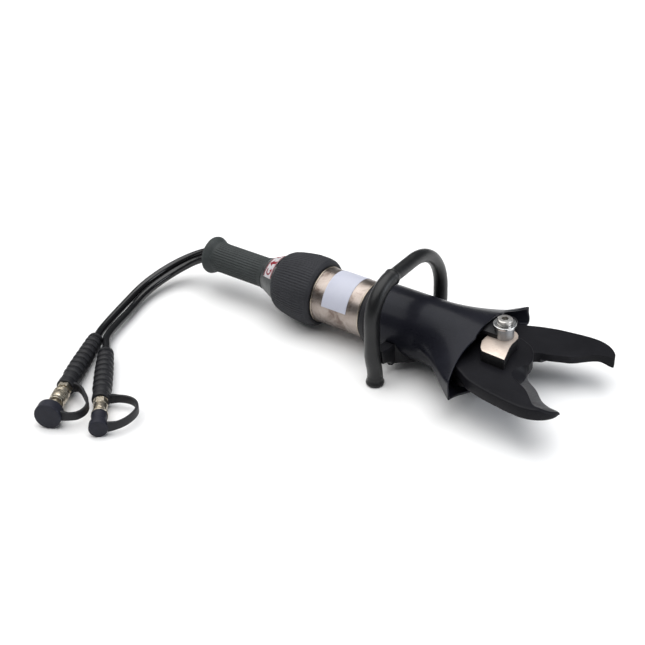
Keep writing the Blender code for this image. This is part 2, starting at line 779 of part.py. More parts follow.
# Each ear narrows towards the pivot.
EAR_NECK = [(-24 * mm, 13.4 * mm), (0, 13.4 * mm)]
EAR_PLAN = [(-200 * mm, EAR_HALF_W), (-58 * mm, EAR_HALF_W)] + EAR_NECK
EAR_PLAN += [(x, -y) for x, y in reversed(EAR_PLAN)]
for tag, side, top, thrust in (("up", 1, EAR_BOSS_TOP, THRUST_TOP), ("down", -1, EAR_HIGH, THRUST_LOW)):
    low, high = sorted((side * EAR_LOW, side * (EAR_HIGH + 10 * mm)))
    ear = slab(f"ear_{tag}", EAR_PLAN, low, high, None)
    boolean(ear, "INTERSECT", rod(f"ear_round_{tag}", EAR_HIGH - 0.6 * mm, -230 * mm, 30 * mm, None, seg=32, rotation=ALONG_X))
    boss = rod(f"ear_boss_{tag}", EAR_BOSS_R, *sorted((side * (EAR_LOW - 0.6 * mm), side * top)), None, seg=28)
    bearing = side * (BLADE_T + thrust + 2 * GAP)
    collar = rod(f"ear_collar_{tag}", EAR_COLLAR_R, *sorted((bearing, side * (EAR_LOW + 2 * mm))), None, seg=28)
    boolean(yoke, "UNION", ear, boss, collar)
boolean(yoke, "DIFFERENCE", rod("bolt_hole", BOLT_R + GAP, -80 * mm, 80 * mm, None, seg=24))

# ---------------------------------------------------------------- shroud
def flare(station):
    """0 on the round part of the shroud, 1 at its front corners."""
    t = (station - FLARE_START) / (SHROUD_FRONT - FLARE_START)
    if t <= 0:
        return 0.0
    return t * t * (1.9 - 0.9 * t) if t < 1 else 1.0 + (t - 1) * 1.1


def shroud_section(station, inset, count=36):
    """Points round the shroud: a circle that turns into a wide lens with upright ends."""
    f = flare(station)
    spread = max(f, 0.0) ** 0.8
    radius = SHROUD_R - inset
    width = radius + (SHROUD_HALF_W - SHROUD_R) * f
    height = radius
    edge = (SHROUD_EDGE_H - inset * 0.5) * spread
    found = []
    for i in range(count):
        angle = 2 * math.pi * (i + 0.5) / count
        c, s = math.cos(angle), math.sin(angle)
        y = width * c
        lens = edge + (height - edge) * (1 - abs(c) ** 2.0) ** (0.5 + 1.15 * spread)
        if abs(c) > 0.985:
            lens = max(lens, edge)
        z = math.copysign(lens, s)
        found.append((station, y, z))
    return found


def loft(name, sections, look):
    shape = bmesh.new()
    rings = [[shape.verts.new(p) for p in section] for section in sections]
    for here, there in zip(rings, rings[1:]):
        count = len(here)
        for k in range(count):
            shape.faces.new((here[k], here[(k + 1) % count], there[(k + 1) % count], there[k]))
    shape.faces.new(rings[0])
    shape.faces.new(rings[-1])
    return from_bmesh(name, shape, look)


STATIONS = [SHROUD_REAR, FLARE_START] + [
    FLARE_START + (SHROUD_FRONT - FLARE_START) * (i / 8) ** 0.85 for i in range(1, 9)
]
shroud = loft("shroud", [shroud_section(s, 0.0) for s in STATIONS], "black_paint")
inside = loft(
    "shroud_inside",
    [shroud_section(s, SHROUD_WALL) for s in [SHROUD_REAR - 20 * mm] + STATIONS[1:] + [SHROUD_FRONT + 15 * mm]],
    None,
)
MOUTH = 9.5 * mm  # depth of the two hollows in the front edge
MOUTH_MIDDLE = 28.0 * mm  # half width of the straight part over the pivot
MOUTH_SIDES = [SHROUD_HALF_W + 2 * mm] + [SHROUD_HALF_W - (SHROUD_HALF_W - MOUTH_MIDDLE) * i / 7 for i in range(8)]


def mouth_x(y):
    t = (SHROUD_HALF_W - y) / (SHROUD_HALF_W - MOUTH_MIDDLE)
    hollow = MOUTH * math.sin(math.pi * min(max(t, 0.0), 1.0))
    return SHROUD_FRONT - max(hollow, 5.5 * mm if y < MOUTH_MIDDLE + 5 * mm else 0.0)


mouth_outline = [(mouth_x(y), -y) for y in MOUTH_SIDES] + [(mouth_x(y), y) for y in reversed(MOUTH_SIDES)]
shape = bmesh.new()
mouth_face = shape.faces.new(
    [shape.verts.new((x, y, -90 * mm)) for x, y in mouth_outline]
    + [shape.verts.new((40 * mm, 140 * mm, -90 * mm)), shape.verts.new((40 * mm, -140 * mm, -90 * mm))]
)
grown = bmesh.ops.extrude_face_region(shape, geom=[mouth_face])
bmesh.ops.translate(
    shape,
    verts=[v for v in grown["geom"] if isinstance(v, bmesh.types.BMVert)],
    vec=(0, 0, 180 * mm),
)
mouth = from_bmesh("shroud_mouth", shape, None)
boolean(shroud, "DIFFERENCE", inside, mouth)
turned(
    "shroud_clamp",
    [
        (-211 * mm, SHROUD_R - SHROUD_WALL - GAP),
        (-211 * mm, SHROUD_R - 1.5 * mm),
        (-209 * mm, SHROUD_R + 1.2 * mm),
        (-203 * mm, SHROUD_R + 1.2 * mm),
        (-200.2 * mm, SHROUD_R - 0.5 * mm),
        (-200.2 * mm, SHROUD_R - SHROUD_WALL - GAP),
    ],
    "black_rubber",
    seg=32,
)

# ---------------------------------------------------------------- carry handle
FOOT_TOP = 15 * mm  # over the floor
LEG_END = -AXIS_Z + 6.5 * mm


def handle_point(y, z):
    return (HANDLE_X - math.tan(HANDLE_LEAN) * max(z, 0.0), y, z)


def shoulder(tag):
    """Leg and bend of one side, from the foot to the bar, as distances from the middle."""
    bend = HANDLE_BEND[tag]
    leg = [(FOOT_SIDE, LEG_END), (FOOT_SIDE, -41 * mm), (88.3 * mm, -30 * mm), (91.6 * mm, -16 * mm), (HANDLE_SIDE, 0)]
    return leg + arc((HANDLE_SIDE - bend, HANDLE_TOP - bend), bend, 0, 90, 9)


path = [(-y, z) for y, z in shoulder("near")] + list(reversed(shoulder("far")))
tube("carry_handle", [handle_point(y, z) for y, z in path], HANDLE_R, "black_rubber", sides=2)
for tag, side in (("near", -1), ("far", 1)):
    turned(
        f"handle_foot_{tag}",
        [
            (-AXIS_Z, 0),
            (-AXIS_Z, FOOT_R - 1.5 * mm),
            (-AXIS_Z + 1.5 * mm, FOOT_R),
            (-AXIS_Z + 6 * mm, FOOT_R),
            (-AXIS_Z + FOOT_TOP, HANDLE_R + 1.3 * mm),
            (-AXIS_Z + FOOT_TOP, HANDLE_R + GAP),
            (LEG_END - GAP, HANDLE_R + GAP),
            (LEG_END - GAP, 0),
        ],
        "black_rubber",
        seg=20,
        location=(HANDLE_X, side * FOOT_SIDE, 0),
        rotation=(0, 0, 0),
    )
    web = [(side * y, z) for y, z in arc((0, 0), SHROUD_R + GAP, -10, -56, 8)]
    web += [
        (side * 38 * mm, -41.2 * mm),
        (side * 52.5 * mm, -41.2 * mm),
        (side * 58 * mm, -33.5 * mm),
        (side * 68 * mm, -29 * mm),
        (side * 77.9 * mm, -26 * mm),
        (side * 81.4 * mm, -2 * mm),
        (side * 66 * mm, -7 * mm),
    ]
    plate(
        f"handle_bracket_{tag}",
        [web],
        9 * mm,
        "black_paint",
        location=(HANDLE_X, 0, 0),
        rotation=(math.pi / 2, 0, math.pi / 2),
    )
    rod(
        f"bracket_screw_{tag}",
        5.2 * mm,
        -46.5 * mm,
        -41.5 * mm,
        "black_paint",
        seg=6,
        location=(HANDLE_X, side * 45.2 * mm, 0),
    )

# ---------------------------------------------------------------- hoses and couplings
def chain_frame(direction):
    """Own X to the right of the coupling seen from above, own Y up, own Z along it."""
    along = direction.normalized()
    right = Vector((-along.y, along.x, 0)).normalized()
    up = along.cross(right)
    return Matrix((right, up, along)).transposed()


FEMALE = empty("female_coupling_axis", FEMALE_START, AXIS, chain_frame(FEMALE_DIR))
MALE = empty("male_coupling_axis", MALE_START, AXIS, chain_frame(MALE_DIR))
SELF = (0, 0, 0)

# The pair leaves the gland one hose above the other, sinks and turns towards the near side,
# and lies side by side where it reaches the floor.
PAIR = smooth(
    [
        (REAR_X + 18 * mm, *HOSE_MID),
        (REAR_X + 9 * mm, *HOSE_MID),
        (REAR_X + 2 * mm, *HOSE_MID),
        (-533 * mm, 0.6 * mm, -5.4 * mm),
        (-549 * mm, -3.2 * mm, -12.4 * mm),
        (-567 * mm, -13.5 * mm, -22.5 * mm),
        (-582 * mm, -36 * mm, -32 * mm),
        (-589 * mm, -71 * mm, -38.5 * mm),
        (-587 * mm, -107 * mm, -42 * mm),
        (-580.5 * mm, -135 * mm, -44 * mm),
        (-574.5 * mm, -157 * mm, -44.5 * mm),
    ],
    3,
)
for tag, side, start, direction, length in (
    ("supply", 1, FEMALE_START, FEMALE_DIR.normalized(), FEMALE_SLEEVE_L),
    ("return", -1, MALE_START, MALE_DIR.normalized(), MALE_SLEEVE_L),
):
    route = []
    for i, here in enumerate(PAIR):
        ahead = PAIR[min(i + 1, len(PAIR) - 1)] - PAIR[max(i - 1, 0)]
        aside = ahead.cross(Vector((0, 0, 1))).normalized()
        lean = HOSE_LEAN * (1 - max(0, i - 6) / (len(PAIR) - 7))
        route.append(here + (aside * math.cos(lean) + Vector((0, 0, math.sin(lean)))) * side * HOSE_HALF)
    end = [start - direction * 28 * mm, start + direction * 4 * mm]
    run_in = [start + direction * length * 0.5, start + direction * (length - 2 * mm)]
    tube(f"hose_{tag}", route[:-1] + smooth([route[-2], route[-1]] + end, 4)[4:] + run_in, HOSE_R, "hose_rubber", sides=1)

for tag, chain, length in (("supply", FEMALE, FEMALE_SLEEVE_L), ("return", MALE, MALE_SLEEVE_L)):
    bore = HOSE_R + 0.5 * mm
    turned(
        f"bend_sleeve_{tag}",
        [
            (0, bore),
            (0, HOSE_R + 2.6 * mm),
            (10 * mm, SLEEVE_R - 2.2 * mm),
            (40 * mm, SLEEVE_R - 0.6 * mm),
            (70 * mm, SLEEVE_R),
            (length - 10 * mm, SLEEVE_R),
            (length, SLEEVE_R - 2.2 * mm),
            (length, bore),
        ],
        "black_rubber",
        seg=18,
        parent=chain,
        rotation=SELF,
    )

# Female coupling with its lock sleeve and cap.
LOCK_AT, FEMALE_CAP_AT, MALE_CAP_AT = 147.0 * mm, 175.0 * mm, 160.0 * mm
turned(
    "coupling_female",
    [
        (FEMALE_SLEEVE_L + GAP, 0),
        (FEMALE_SLEEVE_L + GAP, 9.6 * mm),
        (132 * mm, 9.6 * mm),
        (132 * mm, 11.6 * mm),
        (143 * mm, 11.6 * mm),
        (143 * mm, 8.4 * mm),
        (193 * mm, 8.4 * mm),
        (193 * mm, 5.5 * mm),
        (178 * mm, 5.5 * mm),
        (178 * mm, 0),
    ],
    "gold_metal",
    seg=20,
    parent=FEMALE,
    rotation=SELF,
)
LOCK = empty("lock_sleeve_axis", (0, 0, LOCK_AT), FEMALE)
turned(
    "lock_sleeve",
    [
        (0, 8.8 * mm),
        (0, 11.0 * mm),
        (1.2 * mm, 11.8 * mm),
        (17 * mm, 11.8 * mm),
        (20 * mm, 11.2 * mm),
        (27 * mm, 11.2 * mm),
        (27 * mm, 8.8 * mm),
    ],
    "gold_metal",
    seg=20,
    parent=LOCK,
    rotation=SELF,
)
FEMALE_CAP = empty("female_cap_axis", (0, 0, FEMALE_CAP_AT), FEMALE)
turned(
    "cap_female",
    [
        (0, 9.0 * mm),
        (0, FEMALE_CAP_R - 3 * mm),
        (4 * mm, FEMALE_CAP_R),
        (FEMALE_L - FEMALE_CAP_AT - 3 * mm, FEMALE_CAP_R),
        (FEMALE_L - FEMALE_CAP_AT, FEMALE_CAP_R - 2.5 * mm),
        (FEMALE_L - FEMALE_CAP_AT, 0),
        (20 * mm, 0),
        (20 * mm, 9.0 * mm),
    ],
    "black_rubber",
    seg=24,
    parent=FEMALE_CAP,
    rotation=SELF,
)

# Male coupling and its cap.
turned(
    "coupling_male",
    [
        (MALE_SLEEVE_L + GAP, 0),
        (MALE_SLEEVE_L + GAP, 9.2 * mm),
        (138 * mm, 9.2 * mm),
        (138 * mm, 10.8 * mm),
        (148 * mm, 10.8 * mm),
        (148 * mm, 9.0 * mm),
        (155 * mm, 9.0 * mm),
        (155 * mm, 7.6 * mm),
        (186 * mm, 7.6 * mm),
        (186 * mm, 0),
    ],
    "gold_metal",
    seg=20,
    parent=MALE,
    rotation=SELF,
)
MALE_CAP = empty("male_cap_axis", (0, 0, MALE_CAP_AT), MALE)
turned(
    "cap_male",
    [
        (0, 8.2 * mm),
        (0, MALE_CAP_R - 1.5 * mm),
        (1.5 * mm, MALE_CAP_R),
        (MALE_L - MALE_CAP_AT - 2 * mm, MALE_CAP_R),
        (MALE_L - MALE_CAP_AT, MALE_CAP_R - 2 * mm),
        (MALE_L - MALE_CAP_AT, 0),
        (28 * mm, 0),
        (28 * mm, 8.2 * mm),
    ],
    "black_rubber",
    seg=20,
    parent=MALE_CAP,
    rotation=SELF,
)

# Straps: a collar on each coupling and a flat rubber band to the cap.
for tag, chain, at, shank, collar_r, route in (
    (
        "female",
        FEMALE,
        120 * mm,
        9.6 * mm,
        13.0 * mm,
        [(13.8, 124), (18, 126), (24, 135), (29.5, 147), (35.5, 160), (39.5, 174), (39.5, 187), (34.5, 198), (27.5, 203.2), (19.2, 203.5)],
    ),
    (
        "male",
        MALE,
        126 * mm,
        9.2 * mm,
        12.6 * mm,
        [(13.4, 131), (25, 133), (36, 136.5), (45, 143), (50, 153), (50.5, 163), (46, 175), (37, 187), (26, 195), (13.5, 198.5)],
    ),
):
    turned(
        f"strap_collar_{tag}",
        [
            (at, shank + GAP),
            (at, collar_r),
            (at + 8 * mm, collar_r),
            (at + 8 * mm, shank + GAP),
        ],
        "black_rubber",
        seg=20,
        parent=chain,
        rotation=SELF,
    )
    line = [Vector(p[:2]) for p in smooth([(a * mm, b * mm, 0) for a, b in route], 2)]
    left, right = [], []
    for i, here in enumerate(line):
        ahead = line[min(i + 1, len(line) - 1)] - line[max(i - 1, 0)]
        normal = Vector((-ahead.y, ahead.x)).normalized() * 1.5 * mm
        left.append(tuple(here + normal))
        right.append(tuple(here - normal))
    plate(
        f"strap_{tag}",
        [left + right[::-1]],
        3.6 * mm,
        "black_rubber",
        parent=chain,
        rotation=(math.pi / 2, 0, 0),
    )
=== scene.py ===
"""Looks of the rescue cutter: smooth turned pieces, ribbed rubber, a lofted shroud,
ground blades, hoses with couplings, and their finishes."""

import math

import bmesh
import bpy
import numpy as np
from mathutils import Euler, Matrix, Vector
from mathutils.geometry import delaunay_2d_cdt


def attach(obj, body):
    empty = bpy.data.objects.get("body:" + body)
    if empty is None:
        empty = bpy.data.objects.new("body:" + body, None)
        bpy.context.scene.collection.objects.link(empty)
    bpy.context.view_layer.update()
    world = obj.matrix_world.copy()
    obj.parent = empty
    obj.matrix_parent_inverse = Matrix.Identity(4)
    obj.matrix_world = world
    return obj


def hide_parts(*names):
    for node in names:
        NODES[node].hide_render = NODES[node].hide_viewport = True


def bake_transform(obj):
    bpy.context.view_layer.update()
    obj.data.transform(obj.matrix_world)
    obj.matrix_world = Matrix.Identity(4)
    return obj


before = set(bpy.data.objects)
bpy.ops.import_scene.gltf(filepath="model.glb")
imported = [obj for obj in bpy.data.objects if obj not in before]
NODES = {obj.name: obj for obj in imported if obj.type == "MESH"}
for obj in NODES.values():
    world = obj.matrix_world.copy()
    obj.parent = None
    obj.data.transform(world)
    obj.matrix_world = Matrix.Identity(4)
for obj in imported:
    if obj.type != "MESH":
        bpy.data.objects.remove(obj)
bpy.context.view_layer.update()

mm = 0.001
PIVOT = Vector((197.25 * mm, 0, 57.5 * mm))
AXIS_Z = 57.5
scene = bpy.context.scene


def at(x, y, z):
    """World place of a point counted from the pivot, in millimetres."""
    return PIVOT + Vector((x, y, z)) * mm


# ---------------------------------------------------------------- camera
AZ, EL, ROLL = math.radians(35.8585), math.radians(32.8485), math.radians(1.3741)
AIM, DISTANCE = Vector((-0.063213, -0.0680755, 0.0575)), 1.988419
back = Vector((math.sin(AZ) * math.cos(EL), -math.cos(AZ) * math.cos(EL), math.sin(EL)))
right = Vector((math.cos(AZ), math.sin(AZ), 0))
over = back.cross(right)
cam_x = right * math.cos(ROLL) - over * math.sin(ROLL)
cam_y = right * math.sin(ROLL) + over * math.cos(ROLL)
lens = bpy.data.cameras.new("view")
lens.lens = 76.07
lens.sensor_width = 36.0
lens.clip_end = 50
camera = bpy.data.objects.new("view", lens)
scene.collection.objects.link(camera)
camera.matrix_world = Matrix.Translation(AIM + back * DISTANCE) @ Matrix((cam_x, cam_y, back)).transposed().to_4x4()
scene.camera = camera

# ---------------------------------------------------------------- finishes


class Finish:
    """A node material: two tones mottled by noise, roughness and bump from the same field."""

    def __init__(self, name, tones, rough, metal=0.0, spec=0.5, coat=0.0, coat_rough=0.1):
        self.material = bpy.data.materials.new(name)
        self.material.use_nodes = True
        self.tree = self.material.node_tree
        self.shader = self.tree.nodes["Principled BSDF"]
        self.shader.inputs["Metallic"].default_value = metal
        self.shader.inputs["Specular IOR Level"].default_value = spec
        self.shader.inputs["Coat Weight"].default_value = coat
        self.shader.inputs["Coat Roughness"].default_value = coat_rough
        self.tones, self.rough = tones, rough
        self.place = self.node("ShaderNodeTexCoord").outputs["Object"]
        self.height = None
        self.colour = None

    def node(self, kind, **values):
        made = self.tree.nodes.new(kind)
        for key, value in values.items():
            setattr(made, key, value)
        return made

    def link(self, a, b):
        self.tree.links.new(a, b)

    def math(self, operation, a, b=None, clamp=False):
        made = self.node("ShaderNodeMath", operation=operation, use_clamp=clamp)
        for socket, value in zip(made.inputs, (a, b)):
            if value is None:
                continue
            if isinstance(value, (int, float)):
                socket.default_value = value
            else:
                self.link(value, socket)
        return made.outputs[0]

    def noise(self, scale, detail=4.0, rough=0.55, stretch=(1, 1, 1), warp=0.0):
        mapping = self.node("ShaderNodeMapping")
        mapping.inputs["Scale"].default_value = stretch
        self.link(self.place, mapping.inputs["Vector"])
        texture = self.node("ShaderNodeTexNoise")
        texture.inputs["Scale"].default_value = scale
        texture.inputs["Detail"].default_value = detail
        texture.inputs["Roughness"].default_value = rough
        texture.inputs["Distortion"].default_value = warp
        self.link(mapping.outputs[0], texture.inputs["Vector"])
        return texture.outputs["Fac"]

    def cells(self, scale, stretch=(1, 1, 1), feature="F1"):
        mapping = self.node("ShaderNodeMapping")
        mapping.inputs["Scale"].default_value = stretch
        self.link(self.place, mapping.inputs["Vector"])
        texture = self.node("ShaderNodeTexVoronoi", feature=feature)
        texture.inputs["Scale"].default_value = scale
        self.link(mapping.outputs[0], texture.inputs["Vector"])
        return texture.outputs["Distance"]

    def range(self, value, low, high, out_low=0.0, out_high=1.0):
        made = self.node("ShaderNodeMapRange")
        made.clamp = True
        self.link(value, made.inputs["Value"])
        made.inputs["From Min"].default_value = low
        made.inputs["From Max"].default_value = high
        made.inputs["To Min"].default_value = out_low
        made.inputs["To Max"].default_value = out_high
        return made.outputs[0]

    def mix(self, factor, a, b, mode="MIX"):
        made = self.node("ShaderNodeMix", data_type="RGBA", blend_type=mode)
        for key, value in ((0, factor), (6, a), (7, b)):
            socket = made.inputs[key]
            if isinstance(value, (int, float)):
                socket.default_value = value
            elif isinstance(value, tuple):
                socket.default_value = (*value, 1.0) if len(value) == 3 else value
            else:
                self.link(value, socket)
        return made.outputs[2]

    def edge(self, low, high):
        """1 on sharp outer edges, from the surface's own curvature."""
        return self.range(self.node("ShaderNodeNewGeometry").outputs["Pointiness"], low, high)

    def bump(self, *layers, distance=0.0004, strength=0.5):
        total = None
        for value, weight in layers:
            part = self.math("MULTIPLY", value, weight)
            total = part if total is None else self.math("ADD", total, part)
        made = self.node("ShaderNodeBump")
        made.inputs["Strength"].default_value = strength
        made.inputs["Distance"].default_value = distance
        self.link(total, made.inputs["Height"])
        self.link(made.outputs[0], self.shader.inputs["Normal"])

    def done(self, colour, rough):
        self.link(colour, self.shader.inputs["Base Color"])
        self.link(rough, self.shader.inputs["Roughness"])
        return self.material


def rubber(name, dark, light, rough, grain=900.0, dust=0.25, spec=0.4, depth=0.00025, coarse=38.0):
    """Moulded rubber: fine grain, faint mould streaks and dusty high spots."""
    f = Finish(name, (dark, light), rough, spec=spec)
    broad = f.noise(coarse, 5, 0.6, warp=0.4)
    fine = f.noise(grain, 3, 0.6)
    speck = f.noise(grain * 0.35, 2, 0.5)
    tone = f.mix(f.range(broad, 0.35, 0.68), dark, light)
    dusty = f.math("MULTIPLY", f.range(speck, 0.55, 0.75), dust)
    tone = f.mix(dusty, tone, tuple(min(1.0, c * 2.1 + 0.01) for c in light))
    wear = f.math("MULTIPLY", f.edge(0.52, 0.6), 0.35)
    tone = f.mix(wear, tone, tuple(min(1.0, c * 2.4 + 0.012) for c in light))
    rough_map = f.range(f.math("ADD", f.math("MULTIPLY", broad, 0.6), f.math("MULTIPLY", fine, 0.4)), 0.3, 0.7, rough[0], rough[1])
    f.bump((fine, 1.0), (broad, 0.8), distance=depth, strength=0.55)
    return f.done(tone, rough_map)


def metal(name, dark, light, rough, lines=(1, 1, 14), line_scale=120.0, depth=0.00006, tarnish=None, spots=95.0, reach=(0.56, 0.74), spec=0.5, wear=0.0, weight=1.0, speckle=0.0):
    """Worked metal: turning or grinding lines along the stretched axis, and a soft tarnish."""
    f = Finish(name, (dark, light), rough, metal=weight, spec=spec)
    brushed = f.noise(line_scale, 5, 0.7, stretch=lines)
    broad = f.noise(26, 5, 0.6, warp=0.6)
    tone = f.mix(f.range(broad, 0.34, 0.66), dark, light)
    tone = f.mix(f.range(brushed, 0.3, 0.7, 0.0, 0.32), tone, tuple(c * 0.62 for c in dark))
    if tarnish is not None:
        stain = f.noise(spots, 6, 0.65, warp=0.8)
        tone = f.mix(f.range(stain, *reach, 0.0, 0.8), tone, tarnish)
    if speckle:
        pits = f.noise(420, 3, 0.6)
        tone = f.mix(f.range(pits, 0.6, 0.72, 0.0, speckle), tone, tuple(c * 0.45 for c in dark))
    if wear:
        tone = f.mix(f.math("MULTIPLY", f.edge(0.52, 0.58), wear), tone, tuple(min(1.0, c * 1.5 + 0.05) for c in light))
    rough_map = f.range(f.math("ADD", f.math("MULTIPLY", brushed, 0.6), f.math("MULTIPLY", broad, 0.4)), 0.32, 0.68, rough[0], rough[1])
    f.bump((brushed, 1.0), (f.noise(310, 3), 0.35), distance=depth, strength=0.4)
    return f.done(tone, rough_map)


def paint(name, dark, light, rough, coat=0.6, coat_rough=0.08, peel=150.0, depth=0.00012, wear=0.3, bare=(0.18, 0.18, 0.19), spec=0.5, tint=(1, 1, 1)):
    """Sprayed enamel: orange peel, faint dust, and rubbed edges."""
    f = Finish(name, (dark, light), rough, spec=spec, coat=coat, coat_rough=coat_rough)
    f.shader.inputs["Specular Tint"].default_value = (*tint, 1.0)
    broad = f.noise(14, 5, 0.6, warp=0.5)
    orange = f.noise(peel, 2, 0.45)
    dust = f.noise(700, 2, 0.6)
    tone = f.mix(f.range(broad, 0.34, 0.68), dark, light)
    tone = f.mix(f.range(dust, 0.64, 0.8, 0.0, 0.1), tone, (0.22, 0.22, 0.24))
    scuff = f.noise(60, 6, 0.7, stretch=(1, 2.5, 1))
    edge = f.math("MULTIPLY", f.edge(0.53, 0.6), f.range(scuff, 0.45, 0.62, 0.0, wear))
    tone = f.mix(edge, tone, bare)
    rough_map = f.range(f.math("ADD", f.math("MULTIPLY", broad, 0.5), f.math("MULTIPLY", scuff, 0.5)), 0.3, 0.7, rough[0], rough[1])
    f.bump((orange, 1.0), (dust, 0.12), distance=depth, strength=0.35)
    return f.done(tone, rough_map)


LOOK = {
    "grip": rubber("grip_rubber", (0.0265, 0.031, 0.031), (0.041, 0.047, 0.0475), (0.5, 0.7), 950, 0.16, spec=0.28),
    "ring": rubber("ring_rubber", (0.018, 0.019, 0.023), (0.030, 0.031, 0.036), (0.56, 0.78), 950, 0.12, spec=0.26),
    "rubber": rubber("black_rubber", (0.008, 0.008, 0.010), (0.015, 0.015, 0.018), (0.42, 0.62), 1100, 0.1, spec=0.3),
    "handle": rubber("handle_rubber", (0.006, 0.0065, 0.007), (0.012, 0.0125, 0.0135), (0.26, 0.42), 1300, 0.06, spec=0.34),
    "cap": rubber("cap_rubber", (0.009, 0.010, 0.017), (0.015, 0.016, 0.026), (0.42, 0.6), 1100, 0.1, spec=0.28),
    "hose": rubber("hose_rubber", (0.003, 0.003, 0.004), (0.006, 0.006, 0.007), (0.1, 0.2), 1500, 0.04, spec=0.5, depth=0.00006, coarse=60),
    "gland": rubber("gland_rubber", (0.012, 0.012, 0.014), (0.020, 0.020, 0.022), (0.5, 0.7), 1100, 0.12, spec=0.3),
    "plated": metal("plated_barrel", (0.275, 0.233, 0.208), (0.43, 0.378, 0.345), (0.24, 0.4), (1, 1, 16), 90, tarnish=(0.12, 0.085, 0.07), spots=34, reach=(0.5, 0.64)),
    "bead": metal("plated_bead", (0.33, 0.285, 0.235), (0.46, 0.405, 0.34), (0.22, 0.34), (1, 1, 10), 120),
    "neck": metal("neck_metal", (0.13, 0.137, 0.137), (0.22, 0.226, 0.226), (0.34, 0.5), (1, 1, 12), 110, speckle=0.4),
    "steel": metal("machined_steel", (0.26, 0.26, 0.27), (0.38, 0.38, 0.39), (0.3, 0.45), (1, 1, 8), 130, wear=0.4, speckle=0.3),
    "yoke": metal("yoke_steel", (0.19, 0.20, 0.215), (0.36, 0.37, 0.38), (0.36, 0.55), (1, 1, 3), 150, wear=0.35, speckle=0.6),
    "rod": metal("chromed_rod", (0.60, 0.60, 0.61), (0.70, 0.70, 0.71), (0.08, 0.16), (1, 1, 10), 160),
    "bolt": metal("bolt_steel", (0.47, 0.455, 0.435), (0.66, 0.645, 0.62), (0.26, 0.42), (1, 1, 6), 150, tarnish=(0.31, 0.29, 0.265), wear=0.4),
    "pin": metal("pin_steel", (0.085, 0.085, 0.09), (0.14, 0.14, 0.145), (0.36, 0.5), (1, 1, 6), 150, speckle=0.3),
    "washer": metal("washer_steel", (0.58, 0.58, 0.58), (0.72, 0.72, 0.72), (0.16, 0.28), (1, 1, 8), 150),
    "gold": metal("yellow_plating", (0.50, 0.44, 0.34), (0.74, 0.68, 0.57), (0.2, 0.36), (1, 1, 12), 130, tarnish=(0.24, 0.18, 0.12), spots=110, reach=(0.54, 0.7), wear=0.5),
    "bronze": metal("bearing_bronze", (0.38, 0.25, 0.12), (0.50, 0.34, 0.18), (0.3, 0.44), (1, 1, 10), 130),
    "bright": metal("ground_face", (0.65, 0.545, 0.47), (0.80, 0.70, 0.62), (0.36, 0.52), (2.2, 14, 1), 70, tarnish=(0.58, 0.46, 0.38), speckle=0.3, weight=0.6),
    "dark_side": metal("blackened_side", (0.014, 0.014, 0.016), (0.026, 0.026, 0.028), (0.4, 0.55), (1, 1, 6), 120, weight=0.4, spec=0.25),
    "paint": paint("gloss_black", (0.0070, 0.0072, 0.0108), (0.0112, 0.0114, 0.0165), (0.24, 0.38), 0.08, 0.14, wear=0.05, bare=(0.05, 0.05, 0.055), spec=0.11, tint=(0.86, 0.91, 1.0)),
    "bracket": paint("bracket_black", (0.007, 0.007, 0.009), (0.013, 0.013, 0.015), (0.36, 0.52), 0.03, 0.25, peel=220, wear=0.1, bare=(0.05, 0.05, 0.05), spec=0.16),
    "blade": paint("blade_black", (0.0058, 0.0058, 0.0075), (0.0100, 0.0100, 0.0125), (0.36, 0.52), 0.02, 0.25, peel=260, wear=0.12, bare=(0.06, 0.06, 0.065), spec=0.09),
    "ground": metal("ground_bevel", (0.060, 0.060, 0.065), (0.115, 0.115, 0.12), (0.4, 0.58), (9, 1, 1), 90, weight=0.7, speckle=0.3, spec=0.35),
    "film": paint("label_film", (0.485, 0.50, 0.59), (0.53, 0.545, 0.63), (0.36, 0.5), 0.1, 0.25, peel=55, depth=0.0002, wear=0.0, bare=(0.6, 0.6, 0.65), spec=0.3),
    "band": paint("band_film", (0.52, 0.50, 0.515), (0.62, 0.605, 0.62), (0.4, 0.55), 0.05, 0.3, peel=90, wear=0.2, bare=(0.4, 0.36, 0.34), spec=0.3),
    "red": paint("red_print", (0.20, 0.012, 0.022), (0.30, 0.022, 0.036), (0.45, 0.6), 0.0, 0.3, peel=300, wear=0.0, spec=0.2),
}

# ---------------------------------------------------------------- mesh helpers


def finished(name, shape, looks, body, nodes=(), matrix=None, sharp=32.0, blend=None):
    """Turns a bmesh into a shown piece that stands for CAD nodes; it rides on a body unless a blend is given, and then
    its place is baked into the mesh.
    """
    bmesh.ops.recalc_face_normals(shape, faces=shape.faces)
    mesh = bpy.data.meshes.new(name)
    shape.to_mesh(mesh)
    shape.free()
    for look in looks:
        mesh.materials.append(LOOK[look])
    mesh.shade_smooth()
    mesh.set_sharp_from_angle(angle=math.radians(sharp))
    piece = bpy.data.objects.new(name, mesh)
    scene.collection.objects.link(piece)
    if matrix is not None:
        piece.matrix_world = matrix
    if blend is None:
        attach(piece, body)
    else:
        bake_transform(piece)
    if nodes:
        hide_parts(*nodes)
    return piece


